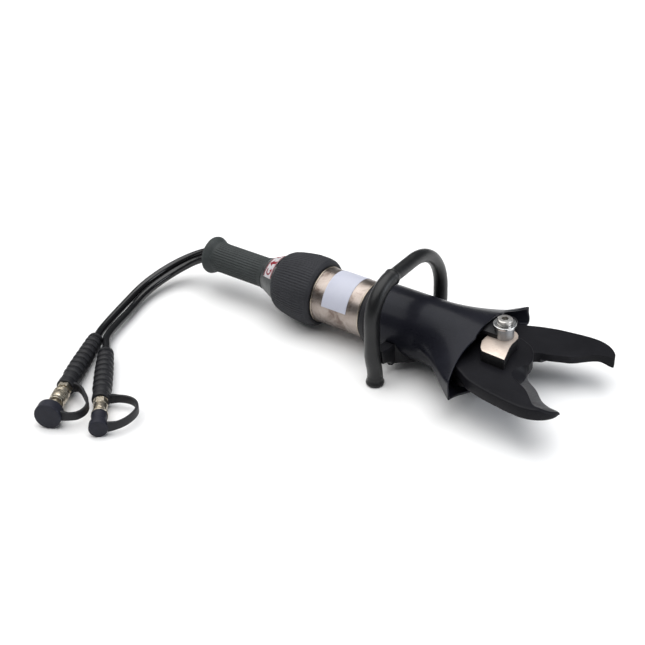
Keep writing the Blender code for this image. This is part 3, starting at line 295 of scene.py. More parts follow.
def rounded(profile, closed, steps=4):
    """Points (s, r, fillet) with each filleted corner turned into an arc."""
    pts = [(Vector(p[:2]), p[2] if len(p) > 2 else 0.0) for p in profile]
    count = len(pts)
    found = []
    for i, (here, fillet) in enumerate(pts):
        if fillet <= 0 or (not closed and i in (0, count - 1)):
            found.append(here)
            continue
        before, after = pts[i - 1][0] - here, pts[(i + 1) % count][0] - here
        la, lb = before.length, after.length
        if la < 1e-9 or lb < 1e-9:
            found.append(here)
            continue
        before, after = before / la, after / lb
        turn = math.pi - math.acos(max(-1.0, min(1.0, before.dot(after))))
        if turn < 0.02:
            found.append(here)
            continue
        reach = min(fillet * math.tan(turn / 2), la * 0.48, lb * 0.48)
        a, b = here + before * reach, here + after * reach
        for k in range(steps + 1):
            t = k / steps
            found.append(a * (1 - t) ** 2 + here * 2 * t * (1 - t) + b * t**2)
    return found


def revolve(profile, seg=96, warp=None, steps=4, fine=None):
    """Turns (s, r, fillet) points in millimetres about local Z; a loop off the axis is a ring."""
    closed = min(p[1] for p in profile) > 1e-6
    line = rounded(profile, closed, steps)
    if fine:
        dense = []
        pairs = list(zip(line, line[1:] + line[:1] if closed else line[1:]))
        for a, b in pairs:
            n = max(1, int(math.ceil((b - a).length / fine)))
            dense += [a + (b - a) * k / n for k in range(n)]
        if not closed:
            dense.append(line[-1])
        line = dense
    shape = bmesh.new()
    rings = []
    for s, r in line:
        if r < 1e-6:
            rings.append([shape.verts.new((0, 0, s * mm))])
            continue
        ring = []
        for k in range(seg):
            angle = 2 * math.pi * k / seg
            rr = warp(s, r, angle) if warp else r
            ring.append(shape.verts.new((rr * mm * math.cos(angle), rr * mm * math.sin(angle), s * mm)))
        rings.append(ring)
    pairs = list(zip(rings, rings[1:]))
    if closed:
        pairs.append((rings[-1], rings[0]))
    for a, b in pairs:
        for k in range(seg):
            n = (k + 1) % seg
            if len(a) == 1 and len(b) == 1:
                break
            if len(a) == 1:
                shape.faces.new((a[0], b[n], b[k]))
            elif len(b) == 1:
                shape.faces.new((a[k], a[n], b[0]))
            else:
                shape.faces.new((a[k], a[n], b[n], b[k]))
    return shape


ALONG_X = Matrix.Translation(PIVOT) @ Euler((0, math.pi / 2, 0)).to_matrix().to_4x4()
UPRIGHT = Matrix.Translation(PIVOT)


def turned(name, profile, look, body="tool_body", nodes=(), matrix=ALONG_X, seg=96, warp=None, fine=None, sharp=32.0, steps=4):
    return finished(name, revolve(profile, seg, warp, steps, fine), [look], body, nodes, matrix, sharp)


def refined(node, look, body, width=0.6, segments=3, angle=30.0, name=None):
    """A copy of a CAD node with its facets merged and its edges rounded."""
    source = NODES[node]
    shape = bmesh.new()
    shape.from_mesh(source.data)
    shape.transform(source.matrix_world)
    bmesh.ops.remove_doubles(shape, verts=shape.verts, dist=2e-6)
    bmesh.ops.dissolve_limit(shape, angle_limit=math.radians(1.0), verts=shape.verts, edges=shape.edges)
    sharp = [e for e in shape.edges if len(e.link_faces) == 2 and e.calc_face_angle(0.0) > math.radians(angle)]
    bmesh.ops.bevel(shape, geom=sharp, offset=width * mm, segments=segments, profile=0.5, affect="EDGES", clamp_overlap=True)
    bmesh.ops.translate(shape, verts=shape.verts, vec=-PIVOT)
    return finished(name or f"{node}_finished", shape, [look], body, [node], UPRIGHT, 35.0)


def smooth(points, per=6):
    """Points on one smooth curve through the given ones (Catmull-Rom, chord weighted)."""
    pts = [Vector(p) for p in points]
    pts = [2 * pts[0] - pts[1]] + pts + [2 * pts[-1] - pts[-2]]
    found = []
    for i in range(1, len(pts) - 2):
        p0, p1, p2, p3 = pts[i - 1 : i + 3]
        t0 = 0.0
        t1 = t0 + (p1 - p0).length ** 0.5
        t2 = t1 + (p2 - p1).length ** 0.5
        t3 = t2 + (p3 - p2).length ** 0.5
        for k in range(per):
            t = t1 + (t2 - t1) * k / per
            a1 = p0 * ((t1 - t) / (t1 - t0)) + p1 * ((t - t0) / (t1 - t0))
            a2 = p1 * ((t2 - t) / (t2 - t1)) + p2 * ((t - t1) / (t2 - t1))
            a3 = p2 * ((t3 - t) / (t3 - t2)) + p3 * ((t - t2) / (t3 - t2))
            b1 = a1 * ((t2 - t) / (t2 - t0)) + a2 * ((t - t0) / (t2 - t0))
            b2 = a2 * ((t3 - t) / (t3 - t1)) + a3 * ((t - t1) / (t3 - t1))
            found.append(b1 * ((t2 - t) / (t2 - t1)) + b2 * ((t - t1) / (t2 - t1)))
    found.append(pts[-2])
    return found


def sweep(points, section, up=Vector((0, 0, 1)), scale=None):
    """Carries a closed (across, up) section along a line of points; both ends are closed."""
    shape = bmesh.new()
    rings = []
    normal = None
    for i, here in enumerate(points):
        ahead = (points[min(i + 1, len(points) - 1)] - points[max(i - 1, 0)]).normalized()
        if normal is None:
            normal = (up - ahead * up.dot(ahead)).normalized()
        else:
            normal = (normal - ahead * normal.dot(ahead)).normalized()
        across = ahead.cross(normal)
        k = scale(i) if scale else 1.0
        rings.append([shape.verts.new(here + across * a * k + normal * b * k) for a, b in section])
    count = len(section)
    for a, b in zip(rings, rings[1:]):
        for k in range(count):
            n = (k + 1) % count
            shape.faces.new((a[k], a[n], b[n], b[k]))
    shape.faces.new(rings[0])
    shape.faces.new(rings[-1])
    return shape


def circle(radius, seg):
    return [(radius * math.cos(2 * math.pi * k / seg), radius * math.sin(2 * math.pi * k / seg)) for k in range(seg)]


def ease(value, low, high):
    t = min(max((value - low) / (high - low), 0.0), 1.0)
    return t * t * (3 - 2 * t)


def cut(piece, *cutters):
    """Takes cutter shapes out of a piece and keeps the result as its mesh."""
    made = []
    for i, shape in enumerate(cutters):
        bmesh.ops.recalc_face_normals(shape, faces=shape.faces)
        mesh = bpy.data.meshes.new(f"{piece.name}_cut{i}")
        shape.to_mesh(mesh)
        shape.free()
        tool = bpy.data.objects.new(mesh.name, mesh)
        scene.collection.objects.link(tool)
        tool.matrix_world = piece.matrix_world
        made.append(tool)
        step = piece.modifiers.new(mesh.name, "BOOLEAN")
        step.operation = "DIFFERENCE"
        step.solver = "EXACT"
        step.object = tool
    bpy.context.view_layer.update()
    result = bpy.data.meshes.new_from_object(piece.evaluated_get(bpy.context.evaluated_depsgraph_get()))
    piece.modifiers.clear()
    old = piece.data
    piece.data = result
    bpy.data.meshes.remove(old)
    for tool in made:
        mesh = tool.data
        bpy.data.objects.remove(tool, do_unlink=True)
        bpy.data.meshes.remove(mesh)
    result.shade_smooth()
    result.set_sharp_from_angle(angle=math.radians(32))
    return piece


def prism(sides, radius, low, high, turn=0.0):
    shape = bmesh.new()
    bmesh.ops.create_cone(shape, cap_ends=True, segments=sides, radius1=radius * mm, radius2=radius * mm, depth=(high - low) * mm)
    bmesh.ops.rotate(shape, verts=shape.verts, cent=(0, 0, 0), matrix=Matrix.Rotation(turn, 3, "Z"))
    bmesh.ops.translate(shape, verts=shape.verts, vec=(0, 0, (low + high) / 2 * mm))
    return shape


# ---------------------------------------------------------------- hoses and what is on them
HOSE_R = 6.2
FEMALE_START, FEMALE_DIR = Vector((-559.5, -235.5, 12.8 - AXIS_Z)), Vector((0.415, -0.909, 0.0345)).normalized()
MALE_START, MALE_DIR = Vector((-531.0, -243.0, 13.3 - AXIS_Z)), Vector((0.635, -0.772, 0.0)).normalized()
FEMALE_SLEEVE_L, MALE_SLEEVE_L = 116.0, 124.0


def chain_frame(start, direction):
    """Own X to the right of the coupling seen from above, own Y up, own Z along it."""
    aside = Vector((-direction.y, direction.x, 0)).normalized()
    up = direction.cross(aside)
    return Matrix.Translation(PIVOT + start * mm) @ Matrix((aside, up, direction)).transposed().to_4x4()


FEMALE, MALE = chain_frame(FEMALE_START, FEMALE_DIR), chain_frame(MALE_START, MALE_DIR)

HOSE_MID, HOSE_HALF, HOSE_LEAN = (1.3, -3.6), 6.85, math.radians(36)
PAIR = smooth(
    [
        (-505, *HOSE_MID), (-514, *HOSE_MID), (-521, *HOSE_MID), (-533, 0.6, -5.4), (-549, -3.2, -12.4), (-567, -13.5, -22.5),
        (-582, -36, -32), (-589, -71, -38.5), (-587, -107, -42), (-580.5, -135, -44), (-574.5, -157, -44.5),
    ],
    3,
)


def hose(tag, side, start, direction, length, beside):
    """The hose keeps beside the other one for so many points of the route, then makes for its coupling."""
    route = []
    for i, here in enumerate(PAIR[:beside]):
        ahead = PAIR[min(i + 1, len(PAIR) - 1)] - PAIR[max(i - 1, 0)]
        lean = HOSE_LEAN * (1 - max(0, i - 6) / (len(PAIR) - 7))
        aside = ahead.cross(Vector((0, 0, 1))).normalized() * math.cos(lean) + Vector((0, 0, math.sin(lean)))
        route.append(here + aside * side * HOSE_HALF)
    end = [start - direction * 28, start + direction * 4]
    line = route[:-1] + smooth([route[-2], route[-1]] + end, 4)[4:]
    line += [start + direction * length * 0.5, start + direction * (length - 2)]
    line = [PIVOT + p * mm for p in smooth(line, 5)]
    curve = bpy.data.curves.new(f"hose_{tag}_cover", "CURVE")
    curve.dimensions = "3D"
    curve.bevel_depth = HOSE_R * mm
    curve.bevel_resolution = 7
    curve.use_fill_caps = True
    spline = curve.splines.new("POLY")
    spline.points.add(len(line) - 1)
    for point, where in zip(spline.points, line):
        point.co = (*where, 1)
    spline.use_smooth = True
    curve.materials.append(LOOK["hose"])
    piece = bpy.data.objects.new(curve.name, curve)
    scene.collection.objects.link(piece)
    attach(piece, "tool_body")
    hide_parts(f"hose_{tag}")
    run = sum((b - a).length for a, b in zip(line, line[1:]))
    return piece, line, run


def sleeve(tag, matrix, first, length, ribs):
    """Bend guard: a tapered rubber sleeve with fat rounded ribs, resting on the floor."""
    bore = HOSE_R + 0.5
    outline = [(first, 11.4), (first + 14, 12.4), (50, 13.4), (72, 14.0), (length - 14, 14.0), (length, 12.4)]
    rest = -12.2

    def envelope(s):
        for (s0, r0), (s1, r1) in zip(outline, outline[1:]):
            if s <= s1:
                return r0 + (r1 - r0) * (s - s0) / (s1 - s0)
        return outline[-1][1]

    def settle(s, r, angle):
        low = r * math.sin(angle)
        return r if low >= rest else rest / math.sin(angle) * 0.7 + r * 0.3 if low > rest - 0.5 else (rest - 0.15) / math.sin(angle)

    pitch = (length - first - 21) / ribs
    line = [(first, bore), (first, 9.6, 0.6), (first + 0.8, 11.2, 0.5), (first + 5.6, 12.0, 0.9), (first + 6.8, 10.2, 0.6)]
    steps = 14
    for rib in range(ribs):
        for k in range(steps):
            t = k / steps
            s = first + 7.6 + (rib + t) * pitch
            crest = max(0.0, math.sin(math.pi * min(max((t - 0.14) / 0.86, 0.0), 1.0))) ** 0.5
            line.append((s, envelope(s) - 2.7 + 2.8 * crest))
    line += [(length - 12.6, 10.4), (length - 11.8, 12.8, 0.6), (length - 3.0, 12.6, 1.4), (length, 10.6, 1.0), (length, bore)]
    return turned(f"bend_guard_{tag}", line, "rubber", nodes=[f"bend_sleeve_{tag}"], matrix=matrix, seg=72, warp=settle, sharp=50)


def hexed(low, high, across):
    """Radius of a hexagon with its corners on `across`, between two stations."""

    def warp(s, r, angle):
        if not low - 0.01 <= s <= high + 0.01 or r < across * 0.84:
            return r
        flat = across * math.cos(math.pi / 6) / math.cos((angle % (math.pi / 3)) - math.pi / 6)
        return min(r, flat)

    return warp


def knurled(low, high, base, count, depth):
    def warp(s, r, angle):
        if low <= s <= high and r >= base - 0.05:
            return r - depth * (0.5 + 0.5 * math.cos(angle * count))
        return r

    return warp


def strap(tag, matrix, direction, start, route, body, first, last):
    """Flat rubber band from the collar on the coupling to its cap."""
    line = [Vector((a * mm, 0, b * mm)) for a, b, _ in smooth([(a, b, 0) for a, b in route], 8)]
    half, thick = 6.3 * mm, 1.9 * mm
    section = []
    corner = 0.9 * mm
    for cx, cy, begin in ((1, 1, 0), (-1, 1, 90), (-1, -1, 180), (1, -1, 270)):
        for k in range(4):
            angle = math.radians(begin + 30 * k)
            section.append((cx * (thick - corner) + corner * math.cos(angle), cy * (half - corner) + corner * math.sin(angle)))
    total = len(line) - 1

    def swell(i):
        return 1.0 + 0.22 * max(ease(i, total * 0.12, 0), ease(i, total * 0.88, total))

    shape = sweep(line, section, up=Vector((0, 1, 0)), scale=swell)
    shape.transform(matrix)
    along = lambda d: tuple(PIVOT + (start + direction * d) * mm)
    return finished(
        f"cap_strap_{tag}", shape, ["rubber"], None, [f"strap_{tag}"],
        blend=("tool_body", body, along(first), along(last)),
    )


supply, supply_line, supply_run = hose("supply", 1, FEMALE_START, FEMALE_DIR, FEMALE_SLEEVE_L, len(PAIR) - 6)
back_hose, back_line, back_run = hose("return", -1, MALE_START, MALE_DIR, MALE_SLEEVE_L, len(PAIR))

female_pieces = [
    sleeve("supply", FEMALE, 0.0, 122.0, 8),
    turned(
        "female_coupling",
        [
            (116.3, 0), (116.3, 9.6, 0.6), (131.5, 9.6, 0.4), (132, 11.6, 0.8), (142.8, 11.6, 0.8), (143.1, 8.4, 0.2),
            (193, 8.4, 0.7), (193, 5.5, 0.5), (178, 5.5, 0.3), (178, 0),
        ],
        "gold", nodes=["coupling_female"], matrix=FEMALE, seg=96, warp=hexed(131.9, 142.9, 11.6), fine=2.5,
    ),
    turned(
        "female_lock_sleeve",
        [
            (147, 8.8), (147, 11.0, 0.5), (148.2, 11.8, 0.4), (151.4, 11.8, 0.2), (151.9, 11.2, 0.2), (152.9, 11.2, 0.2), (153.4, 11.8, 0.2),
            (162.6, 11.8, 0.2), (163.1, 11.1, 0.2), (164.1, 11.1, 0.2), (164.6, 11.8, 0.3), (167, 11.6, 0.5), (168.6, 11.2, 0.4), (174, 11.2, 0.6), (174, 8.8),
        ],
        "gold", body="lock", nodes=["lock_sleeve"], matrix=FEMALE, seg=144,
        warp=knurled(153.8, 162.3, 11.8, 48, 0.45), fine=0.9, sharp=40,
    ),
    turned(
        "female_cap_cup",
        [
            (183, 9.0), (183, 11.6, 0.6), (186.5, 13.0, 1.2), (190.5, 18.0, 2.0), (192.6, 19.4, 1.0), (206.6, 19.4, 1.6), (208, 18.2, 1.2), (208.3, 9.0), (208.3, 0), (195, 0), (195, 9.0),
        ],
        "cap", body="female_cap", nodes=["cap_female"], matrix=FEMALE, seg=96, sharp=45,
    ),
    turned(
        "female_strap_collar",
        [(121.5, 9.9), (121.5, 12.2, 0.7), (123.4, 13.4, 0.9), (133.2, 13.4, 0.9), (135, 12.2, 0.7), (135, 9.9)],
        "rubber", nodes=["strap_collar_female"], matrix=FEMALE, seg=72,
    ),
    strap(
        "female", FEMALE, FEMALE_DIR, FEMALE_START,
        [(12.2, 130), (18.5, 131.5), (26, 138), (34, 149), (41.5, 161), (46.5, 174), (46, 187), (39.5, 197.5), (30, 201.4), (17.8, 201.2)],
        "female_cap", 130, 196,
    ),
]
male_pieces = [
    sleeve("return", MALE, 16.0, 128.0, 7),
    turned(
        "male_coupling",
        [
            (124.3, 0), (124.3, 9.2, 0.6), (139.5, 9.2, 0.4), (140, 10.8, 0.7), (149, 10.8, 0.7), (149.3, 9.2, 0.3), (152.4, 9.2, 0.3), (153, 9.8, 0.4), (162.5, 9.8, 0.5),
            (163, 8.8, 0.4), (167.4, 8.8, 0.4), (167.8, 11.4, 0.3), (170.4, 11.8, 0.5), (171.0, 11.3, 0.3), (171.2, 7.6, 0.3), (184, 7.6, 1.0), (186, 6.2, 0.6), (186, 0),
        ],
        "gold", nodes=["coupling_male"], matrix=MALE, seg=96, warp=hexed(139.9, 149.2, 10.8), fine=2.5,
    ),
    turned(
        "male_cap_cup",
        [
            (171.4, 8.2), (171.4, 10.6, 0.5), (172.2, 11.7, 0.6), (174.6, 11.8, 0.6), (175.6, 11.0, 0.6), (190.6, 11.0, 0.8), (191.8, 12.6, 0.8), (193.2, 13.5, 0.8), (202.6, 13.5, 1.4),
            (204, 12.4, 1.0), (204.2, 6.0), (204.2, 0), (188, 0), (188, 8.2),
        ],
        "cap", body="male_cap", nodes=["cap_male"], matrix=MALE, seg=88, sharp=45,
    ),
    turned(
        "male_strap_collar",
        [(127.5, 9.5), (127.5, 12, 0.7), (129.4, 13.2, 0.9), (136.2, 13.2, 0.9), (138, 12, 0.7), (138, 9.5)],
        "rubber", nodes=["strap_collar_male"], matrix=MALE, seg=72,
    ),
    strap(
        "male", MALE, MALE_DIR, MALE_START,
        [(11.8, 133), (25, 134.5), (36, 137.5), (45.5, 144), (51, 154), (51.5, 164), (47, 176), (38, 187.5), (26.5, 195.5), (12.2, 198.8)],
        "male_cap", 136, 192,
    ),
]


# ---------------------------------------------------------------- grip, valve neck and ring
GRIP_RIBS = 36


def grip_rib(s, r, angle):
    """Lengthwise ribs that run out towards the flange and the front."""
    if r < 22.0:
        return r
    run = ease(s, -506, -498) * (1 - ease(s, -419, -411))
    wave = math.cos(angle * GRIP_RIBS)
    shape = 0.5 + 0.5 * math.copysign(abs(wave) ** 0.6, wave)
    return r - 0.9 * run * (1 - shape)


turned(
    "grip_sleeve",
    [
        (-523, 19.3), (-523, 25, 1.6), (-520.5, 28.8, 2.6), (-516, 30, 4.0), (-511.5, 28.2, 4.0), (-506, 24.6, 5.0), (-497, 23.6, 4.0),
        (-417, 23.6, 6.0), (-409, 25.6, 1.2), (-407, 25, 0.6), (-407, 19.3),
    ],
    "grip", nodes=["rear_grip"], seg=GRIP_RIBS * 10, warp=grip_rib, fine=2.2, sharp=60,
)
turned(
    "grip_core", [(-522, 16.2), (-522, 19.0, 0.5), (-407, 19.0, 0.4), (-407, 16.2)],
    "neck", nodes=["grip_tube"], seg=72,
)
refined("hose_gland", "gland", "tool_body", 0.5)
neck = turned(
    "valve_neck",
    [(-406.7, 0), (-406.7, 26.0, 0.4), (-378.4, 38.4, 0.5), (-377.9, 37.4), (-377.9, 24.5), (-362.4, 24.5, 0.5), (-362.4, 0)],
    "neck", nodes=["valve_body"], seg=96,
)
slot_shape = bmesh.new()
bmesh.ops.create_cube(slot_shape, size=1.0)
bmesh.ops.scale(slot_shape, vec=(36 * mm, 40 * mm, 8 * mm), verts=slot_shape.verts)
bmesh.ops.translate(slot_shape, vec=(-22 * mm, 0, -376 * mm), verts=slot_shape.verts)
cut(neck, prism(48, 8.9, -403, -350), slot_shape)

RING_RIBS = 76


def ring_rib(s, r, angle):
    """Fine lengthwise ribs over the ring, running out at both rims."""
    if r < 44.5 and s > -367.5 or r < 39.0:
        return r
    run = ease(s, -375.5, -368) * (1 - ease(s, -311, -304.5))
    wave = math.cos(angle * RING_RIBS)
    shape = 0.5 + 0.5 * math.copysign(abs(wave) ** 0.7, wave)
    return r - 0.8 * run * (1 - shape)


turned(
    "control_ring_grip",
    [
        (-377.4, 37.8, 0.5), (-376.8, 40.6, 1.2), (-374, 43.6, 2.5), (-368.5, 46.6, 5), (-360, 49.0, 8), (-346, 51.5, 10), (-332, 53.2, 10), (-316, 53.2, 6),
        (-307, 51.6, 4), (-302.6, 48.2, 1.4), (-302, 47.0, 0.6), (-302, 43.4, 0.6), (-361, 43.4, 0.6), (-366, 42.0), (-374, 37.4), (-375.5, 25.3, 0.3), (-377.4, 25.3, 0.3),
    ],
    "ring", body="control", nodes=["control_ring"], seg=RING_RIBS * 8, warp=ring_rib, fine=3.0, sharp=60,
)


def on_axis(s, r, angle):
    """Place on the tool from station, radius and angle from the top towards the near side."""
    return at(s, -r * mm / mm * math.sin(angle), r * math.cos(angle))


def wrapped(name, low_s, high_s, radius, thick, low, high, look, nodes, steps=90, rows=14, lift=None):
    """A film wrapped on the axis: radius(s) below it, corners rounded, edges closed."""
    shape = bmesh.new()
    outer, inner = [], []
    for i in range(steps + 1):
        angle = math.radians(low + (high - low) * i / steps)
        top, bottom = [], []
        for j in range(rows + 1):
            s = low_s + (high_s - low_s) * j / rows
            extra = lift(i / steps, j / rows) if lift else 0.0
            border = min(i, steps - i, j, rows - j) == 0
            top.append(shape.verts.new(on_axis(s, radius(s) + thick * (0.75 if border else 1.0) + extra, angle) - PIVOT))
            bottom.append(shape.verts.new(on_axis(s, radius(s), angle) - PIVOT))
        outer.append(top)
        inner.append(bottom)
    for a, b in zip(outer, outer[1:]):
        for j in range(rows):
            shape.faces.new((a[j], a[j + 1], b[j + 1], b[j]))
    for a, b in zip(inner, inner[1:]):
        for j in range(rows):
            shape.faces.new((a[j + 1], a[j], b[j], b[j + 1]))
    for i in range(steps):
        for j in (0, rows):
            shape.faces.new((outer[i][j], outer[i + 1][j], inner[i + 1][j], inner[i][j]))
    for j in range(rows):
        for i in (0, steps):
            shape.faces.new((outer[i][j], outer[i][j + 1], inner[i][j + 1], inner[i][j]))
    return finished(name, shape, [look], "tool_body", nodes, UPRIGHT, 40)


def neck_radius(s):
    return 26.0 + 12.4 * (s + 406.7) / 28.3


BAND_LOW, BAND_HIGH = -399.5, -381.0
wrapped("direction_film", BAND_LOW, BAND_HIGH, lambda s: neck_radius(s) + 0.12, 0.55, -75, 64, "band", ["direction_band"], 80, 8)


def printed(name, outlines, look):
    """Flat marks laid on the white band: outlines in (turn in degrees, station)."""
    shape = bmesh.new()
    for outline in outlines:
        coords = [Vector(p) for p in outline]
        count = len(coords)
        result = delaunay_2d_cdt(coords, [(i, (i + 1) % count) for i in range(count)], [], 1, 1e-6)
        low, high = [], []
        for p in result[0]:
            r = neck_radius(p.y)
            angle = math.radians(p.x)
            high.append(shape.verts.new(on_axis(p.y, r + 0.80, angle) - PIVOT))
            low.append(shape.verts.new(on_axis(p.y, r + 0.60, angle) - PIVOT))
        use = {}
        for face in result[2]:
            shape.faces.new([high[i] for i in face])
            shape.faces.new([low[i] for i in reversed(face)])
            for a, b in zip(face, face[1:] + face[:1]):
                use[(a, b)] = use.get((a, b), 0) + 1
        for a, b in use:
            if (b, a) not in use:
                shape.faces.new((high[a], high[b], low[b], low[a]))
    return finished(name, shape, [look], "tool_body", (), UPRIGHT, 40)


def arrow(centre, wide, span):
    """A bold arrow across the band, pointing at the grip; wide and span in millimetres."""
    mid = (BAND_LOW + BAND_HIGH) / 2
    grow = 1 / math.radians(neck_radius(mid))
    outline = [
        (0.0, -0.5), (0.25, -0.25), (0.5, 0.0), (0.2, 0.0), (0.2, 0.25), (0.2, 0.5),
        (-0.2, 0.5), (-0.2, 0.25), (-0.2, 0.0), (-0.5, 0.0), (-0.25, -0.25),
    ]
    return [(centre + a * wide * grow, mid + b * span) for a, b in outline]


def hook(centre, radius, wide):
    """A bent arrow: half a circle with one long leg and a head on the other."""
    mid = (BAND_LOW + BAND_HIGH) / 2
    grow = 1 / math.radians(neck_radius(mid))
    outer = [((radius + wide / 2) * math.cos(math.radians(t)), (radius + wide / 2) * math.sin(math.radians(t))) for t in range(-90, 91, 15)]
    inner = [((radius - wide / 2) * math.cos(math.radians(t)), (radius - wide / 2) * math.sin(math.radians(t))) for t in range(90, -91, -15)]
    tip = [(-wide * 0.6, radius + wide * 1.25), (-wide * 2.4, radius), (-wide * 0.6, radius - wide * 1.25)]
    leg = [(-wide * 2.2, -(radius - wide / 2)), (-wide * 2.2, -(radius + wide / 2))]
    outline = outer + [(-wide * 0.6, radius + wide / 2)] + tip + [(-wide * 0.6, radius - wide / 2)] + inner + leg
    return [(centre + a * grow, mid + b) for a, b in outline]


def stripe(low_s, high_s, low, high):
    count = 40
    return [(low + (high - low) * k / count, low_s) for k in range(count + 1)] + [(high - (high - low) * k / count, high_s) for k in range(count + 1)]


printed(
    "direction_marks",
    [
        arrow(21, 12.5, 13.5), arrow(-42, 12.5, 13.5), hook(48, 4.0, 2.3), hook(-10, 4.0, 2.3),
        stripe(BAND_LOW + 0.4, BAND_LOW + 1.8, -73, 62), stripe(BAND_HIGH - 1.8, BAND_HIGH - 0.4, -73, 62),
    ],
    "red",
)

# ---------------------------------------------------------------- barrel
turned(
    "plated_cylinder",
    [(-345, 35), (-345, 42.5, 0.8), (-216, 42.5, 0.5), (-216, 35)],
    "plated", nodes=["barrel"], seg=128, fine=12,
)
for tag, s in (("rear", -300.6), ("front", -217.6)):
    turned(
        f"wiper_bead_{tag}",
        [(s - 1.2, 42.45), (s - 1.1, 43.1, 0.4), (s, 43.5, 0.7), (s + 1.1, 43.1, 0.4), (s + 1.2, 42.45)],
        "bead", seg=128,
    )
wrapped(
    "blank_label", -281, -238, lambda s: 42.56, 0.5, -48, 80, "film", ["barrel_label"], 96, 30,
    lift=lambda u, v: 0.05 * math.sin(9 * u + 4 * v) * math.sin(math.pi * u) * math.sin(math.pi * v),
)
turned(
    "shroud_clamp_band",
    [(-211, 44.2), (-211, 46.6, 0.8), (-209.2, 49.5, 1.6), (-203, 49.6, 1.4), (-200.3, 47.9, 0.8), (-200.3, 44.2)],
    "rubber", nodes=["shroud_clamp"], seg=112,
)

# ---------------------------------------------------------------- shroud
SHROUD_R, WALL, SHROUD_REAR, FLARE_START, SHROUD_FRONT, HALF_W, EDGE_H = 48.5, 4.0, -199.4, -122.0, -20.0, 117.0, 14.5
QUARTER = 60


def flare(s):
    t = (s - FLARE_START) / (SHROUD_FRONT - FLARE_START)
    if t <= 0:
        return 0.0
    return t * t * (1.9 - 0.9 * t) if t < 1 else 1.0 + (t - 1) * 1.1


def quarter(s, inset):
    """One quarter of the section, from the side's middle to the top, evenly spread over length and turn."""
    f = flare(s)
    spread = f**0.8 if f > 0 else 0.0
    radius = SHROUD_R - inset
    width = radius + (HALF_W - SHROUD_R) * f
    edge = (EDGE_H - inset * 0.5) * spread
    angle = np.linspace(0, math.pi / 2, 400)
    c = np.cos(angle)
    top = np.stack([width * c, edge + (radius - edge) * (1 - c * c) ** (0.5 + 1.15 * spread)], 1)
    if edge > 0.05:
        side = np.stack([np.full(30, width), np.linspace(0, edge, 30, endpoint=False)], 1)
        reach = min(4.5, 0.75 * edge)
        run = np.concatenate([[0], np.cumsum(np.linalg.norm(np.diff(top, axis=0), axis=1))])
        first = int(np.searchsorted(run, reach))
        a, b, corner = np.array([width, edge - reach]), top[first], top[0]
        t = np.linspace(0, 1, 14)[1:-1, None]
        arc = a * (1 - t) ** 2 + corner * 2 * t * (1 - t) + b * t**2
        line = np.concatenate([side[side[:, 1] < edge - reach], [a], arc, top[first:]])
    else:
        line = top
    step = np.diff(line, axis=0)
    length = np.linalg.norm(step, axis=1)
    heading = np.unwrap(np.arctan2(step[:, 1], step[:, 0]))
    turn = np.abs(np.diff(heading, prepend=heading[0]))
    measure = np.concatenate([[0], np.cumsum(length + 14.0 * turn)])
    want = np.linspace(0, measure[-1], QUARTER + 1)
    return np.stack([np.interp(want, measure, line[:, 0]), np.interp(want, measure, line[:, 1])], 1)


def section(s, inset):
    q = quarter(s, inset)
    flip_y, flip_z = np.array([-1, 1]), np.array([1, -1])
    return np.concatenate([q, (q[::-1] * flip_y)[1:], (q * flip_y * flip_z)[1:], (q[::-1] * flip_z)[1:-1]])


def mouth_x(y, z):
    """Front edge: hollowed over the blades, straight along the floor side."""
    t = min(max((HALF_W - y) / (HALF_W - 28.0), 0.0), 1.0)
    hollow = 9.5 * math.sin(math.pi * t)
    middle = 1 - ease(y, 30, 44)
    upper = hollow * (1 - middle) + 5.5 * middle
    return SHROUD_FRONT - upper * ease(z, -6, 8) + 1.5 * ease(-z, -6, 8)


STATIONS = np.concatenate([np.linspace(SHROUD_REAR, FLARE_START, 14)[:-1], np.linspace(FLARE_START, SHROUD_FRONT + 5, 96)])
ROWS = 72


def skin(inset, short):
    """Rows of points of the outer or inner face, up to the cut mouth less a little for the lip."""
    grid = np.stack([section(s, inset) for s in STATIONS])
    count = grid.shape[1]
    rows = np.zeros((ROWS + 1, count, 3))
    u = np.linspace(0, 1, ROWS + 1)
    spread = np.where(u < 0.2, u / 0.2 * 0.431, 0.431 + (u - 0.2) / 0.8 * 0.569)
    for j in range(count):
        gap = STATIONS - np.array([mouth_x(abs(y), z) for y, z in grid[:, j]])
        k = int(np.argmax(gap >= 0))
        end = STATIONS[k - 1] + (STATIONS[k] - STATIONS[k - 1]) * (-gap[k - 1]) / (gap[k] - gap[k - 1]) - short
        s = SHROUD_REAR + (end - SHROUD_REAR) * spread
        rows[:, j, 0] = s
        rows[:, j, 1] = np.interp(s, STATIONS, grid[:, j, 0])
        rows[:, j, 2] = np.interp(s, STATIONS, grid[:, j, 1])
    return rows


LIP = 0.9
outside, inside = skin(0.0, LIP), skin(WALL, LIP)
shape = bmesh.new()
layers = []
for row in outside:
    layers.append([shape.verts.new(Vector(p) * mm) for p in row])
for k in range(1, 6):
    phi = math.pi * k / 6
    a = (1 + math.cos(phi)) / 2
    row = outside[-1] * a + inside[-1] * (1 - a)
    row[:, 0] += LIP * math.sin(phi)
    layers.append([shape.verts.new(Vector(p) * mm) for p in row])
for row in inside[::-1]:
    layers.append([shape.verts.new(Vector(p) * mm) for p in row])
layers.append(layers[0])
for a, b in zip(layers, layers[1:]):
    n = len(a)
    for k in range(n):
        shape.faces.new((a[k], a[(k + 1) % n], b[(k + 1) % n], b[k]))
finished("shroud_shell", shape, ["paint"], "tool_body", ["shroud"], UPRIGHT, 50)

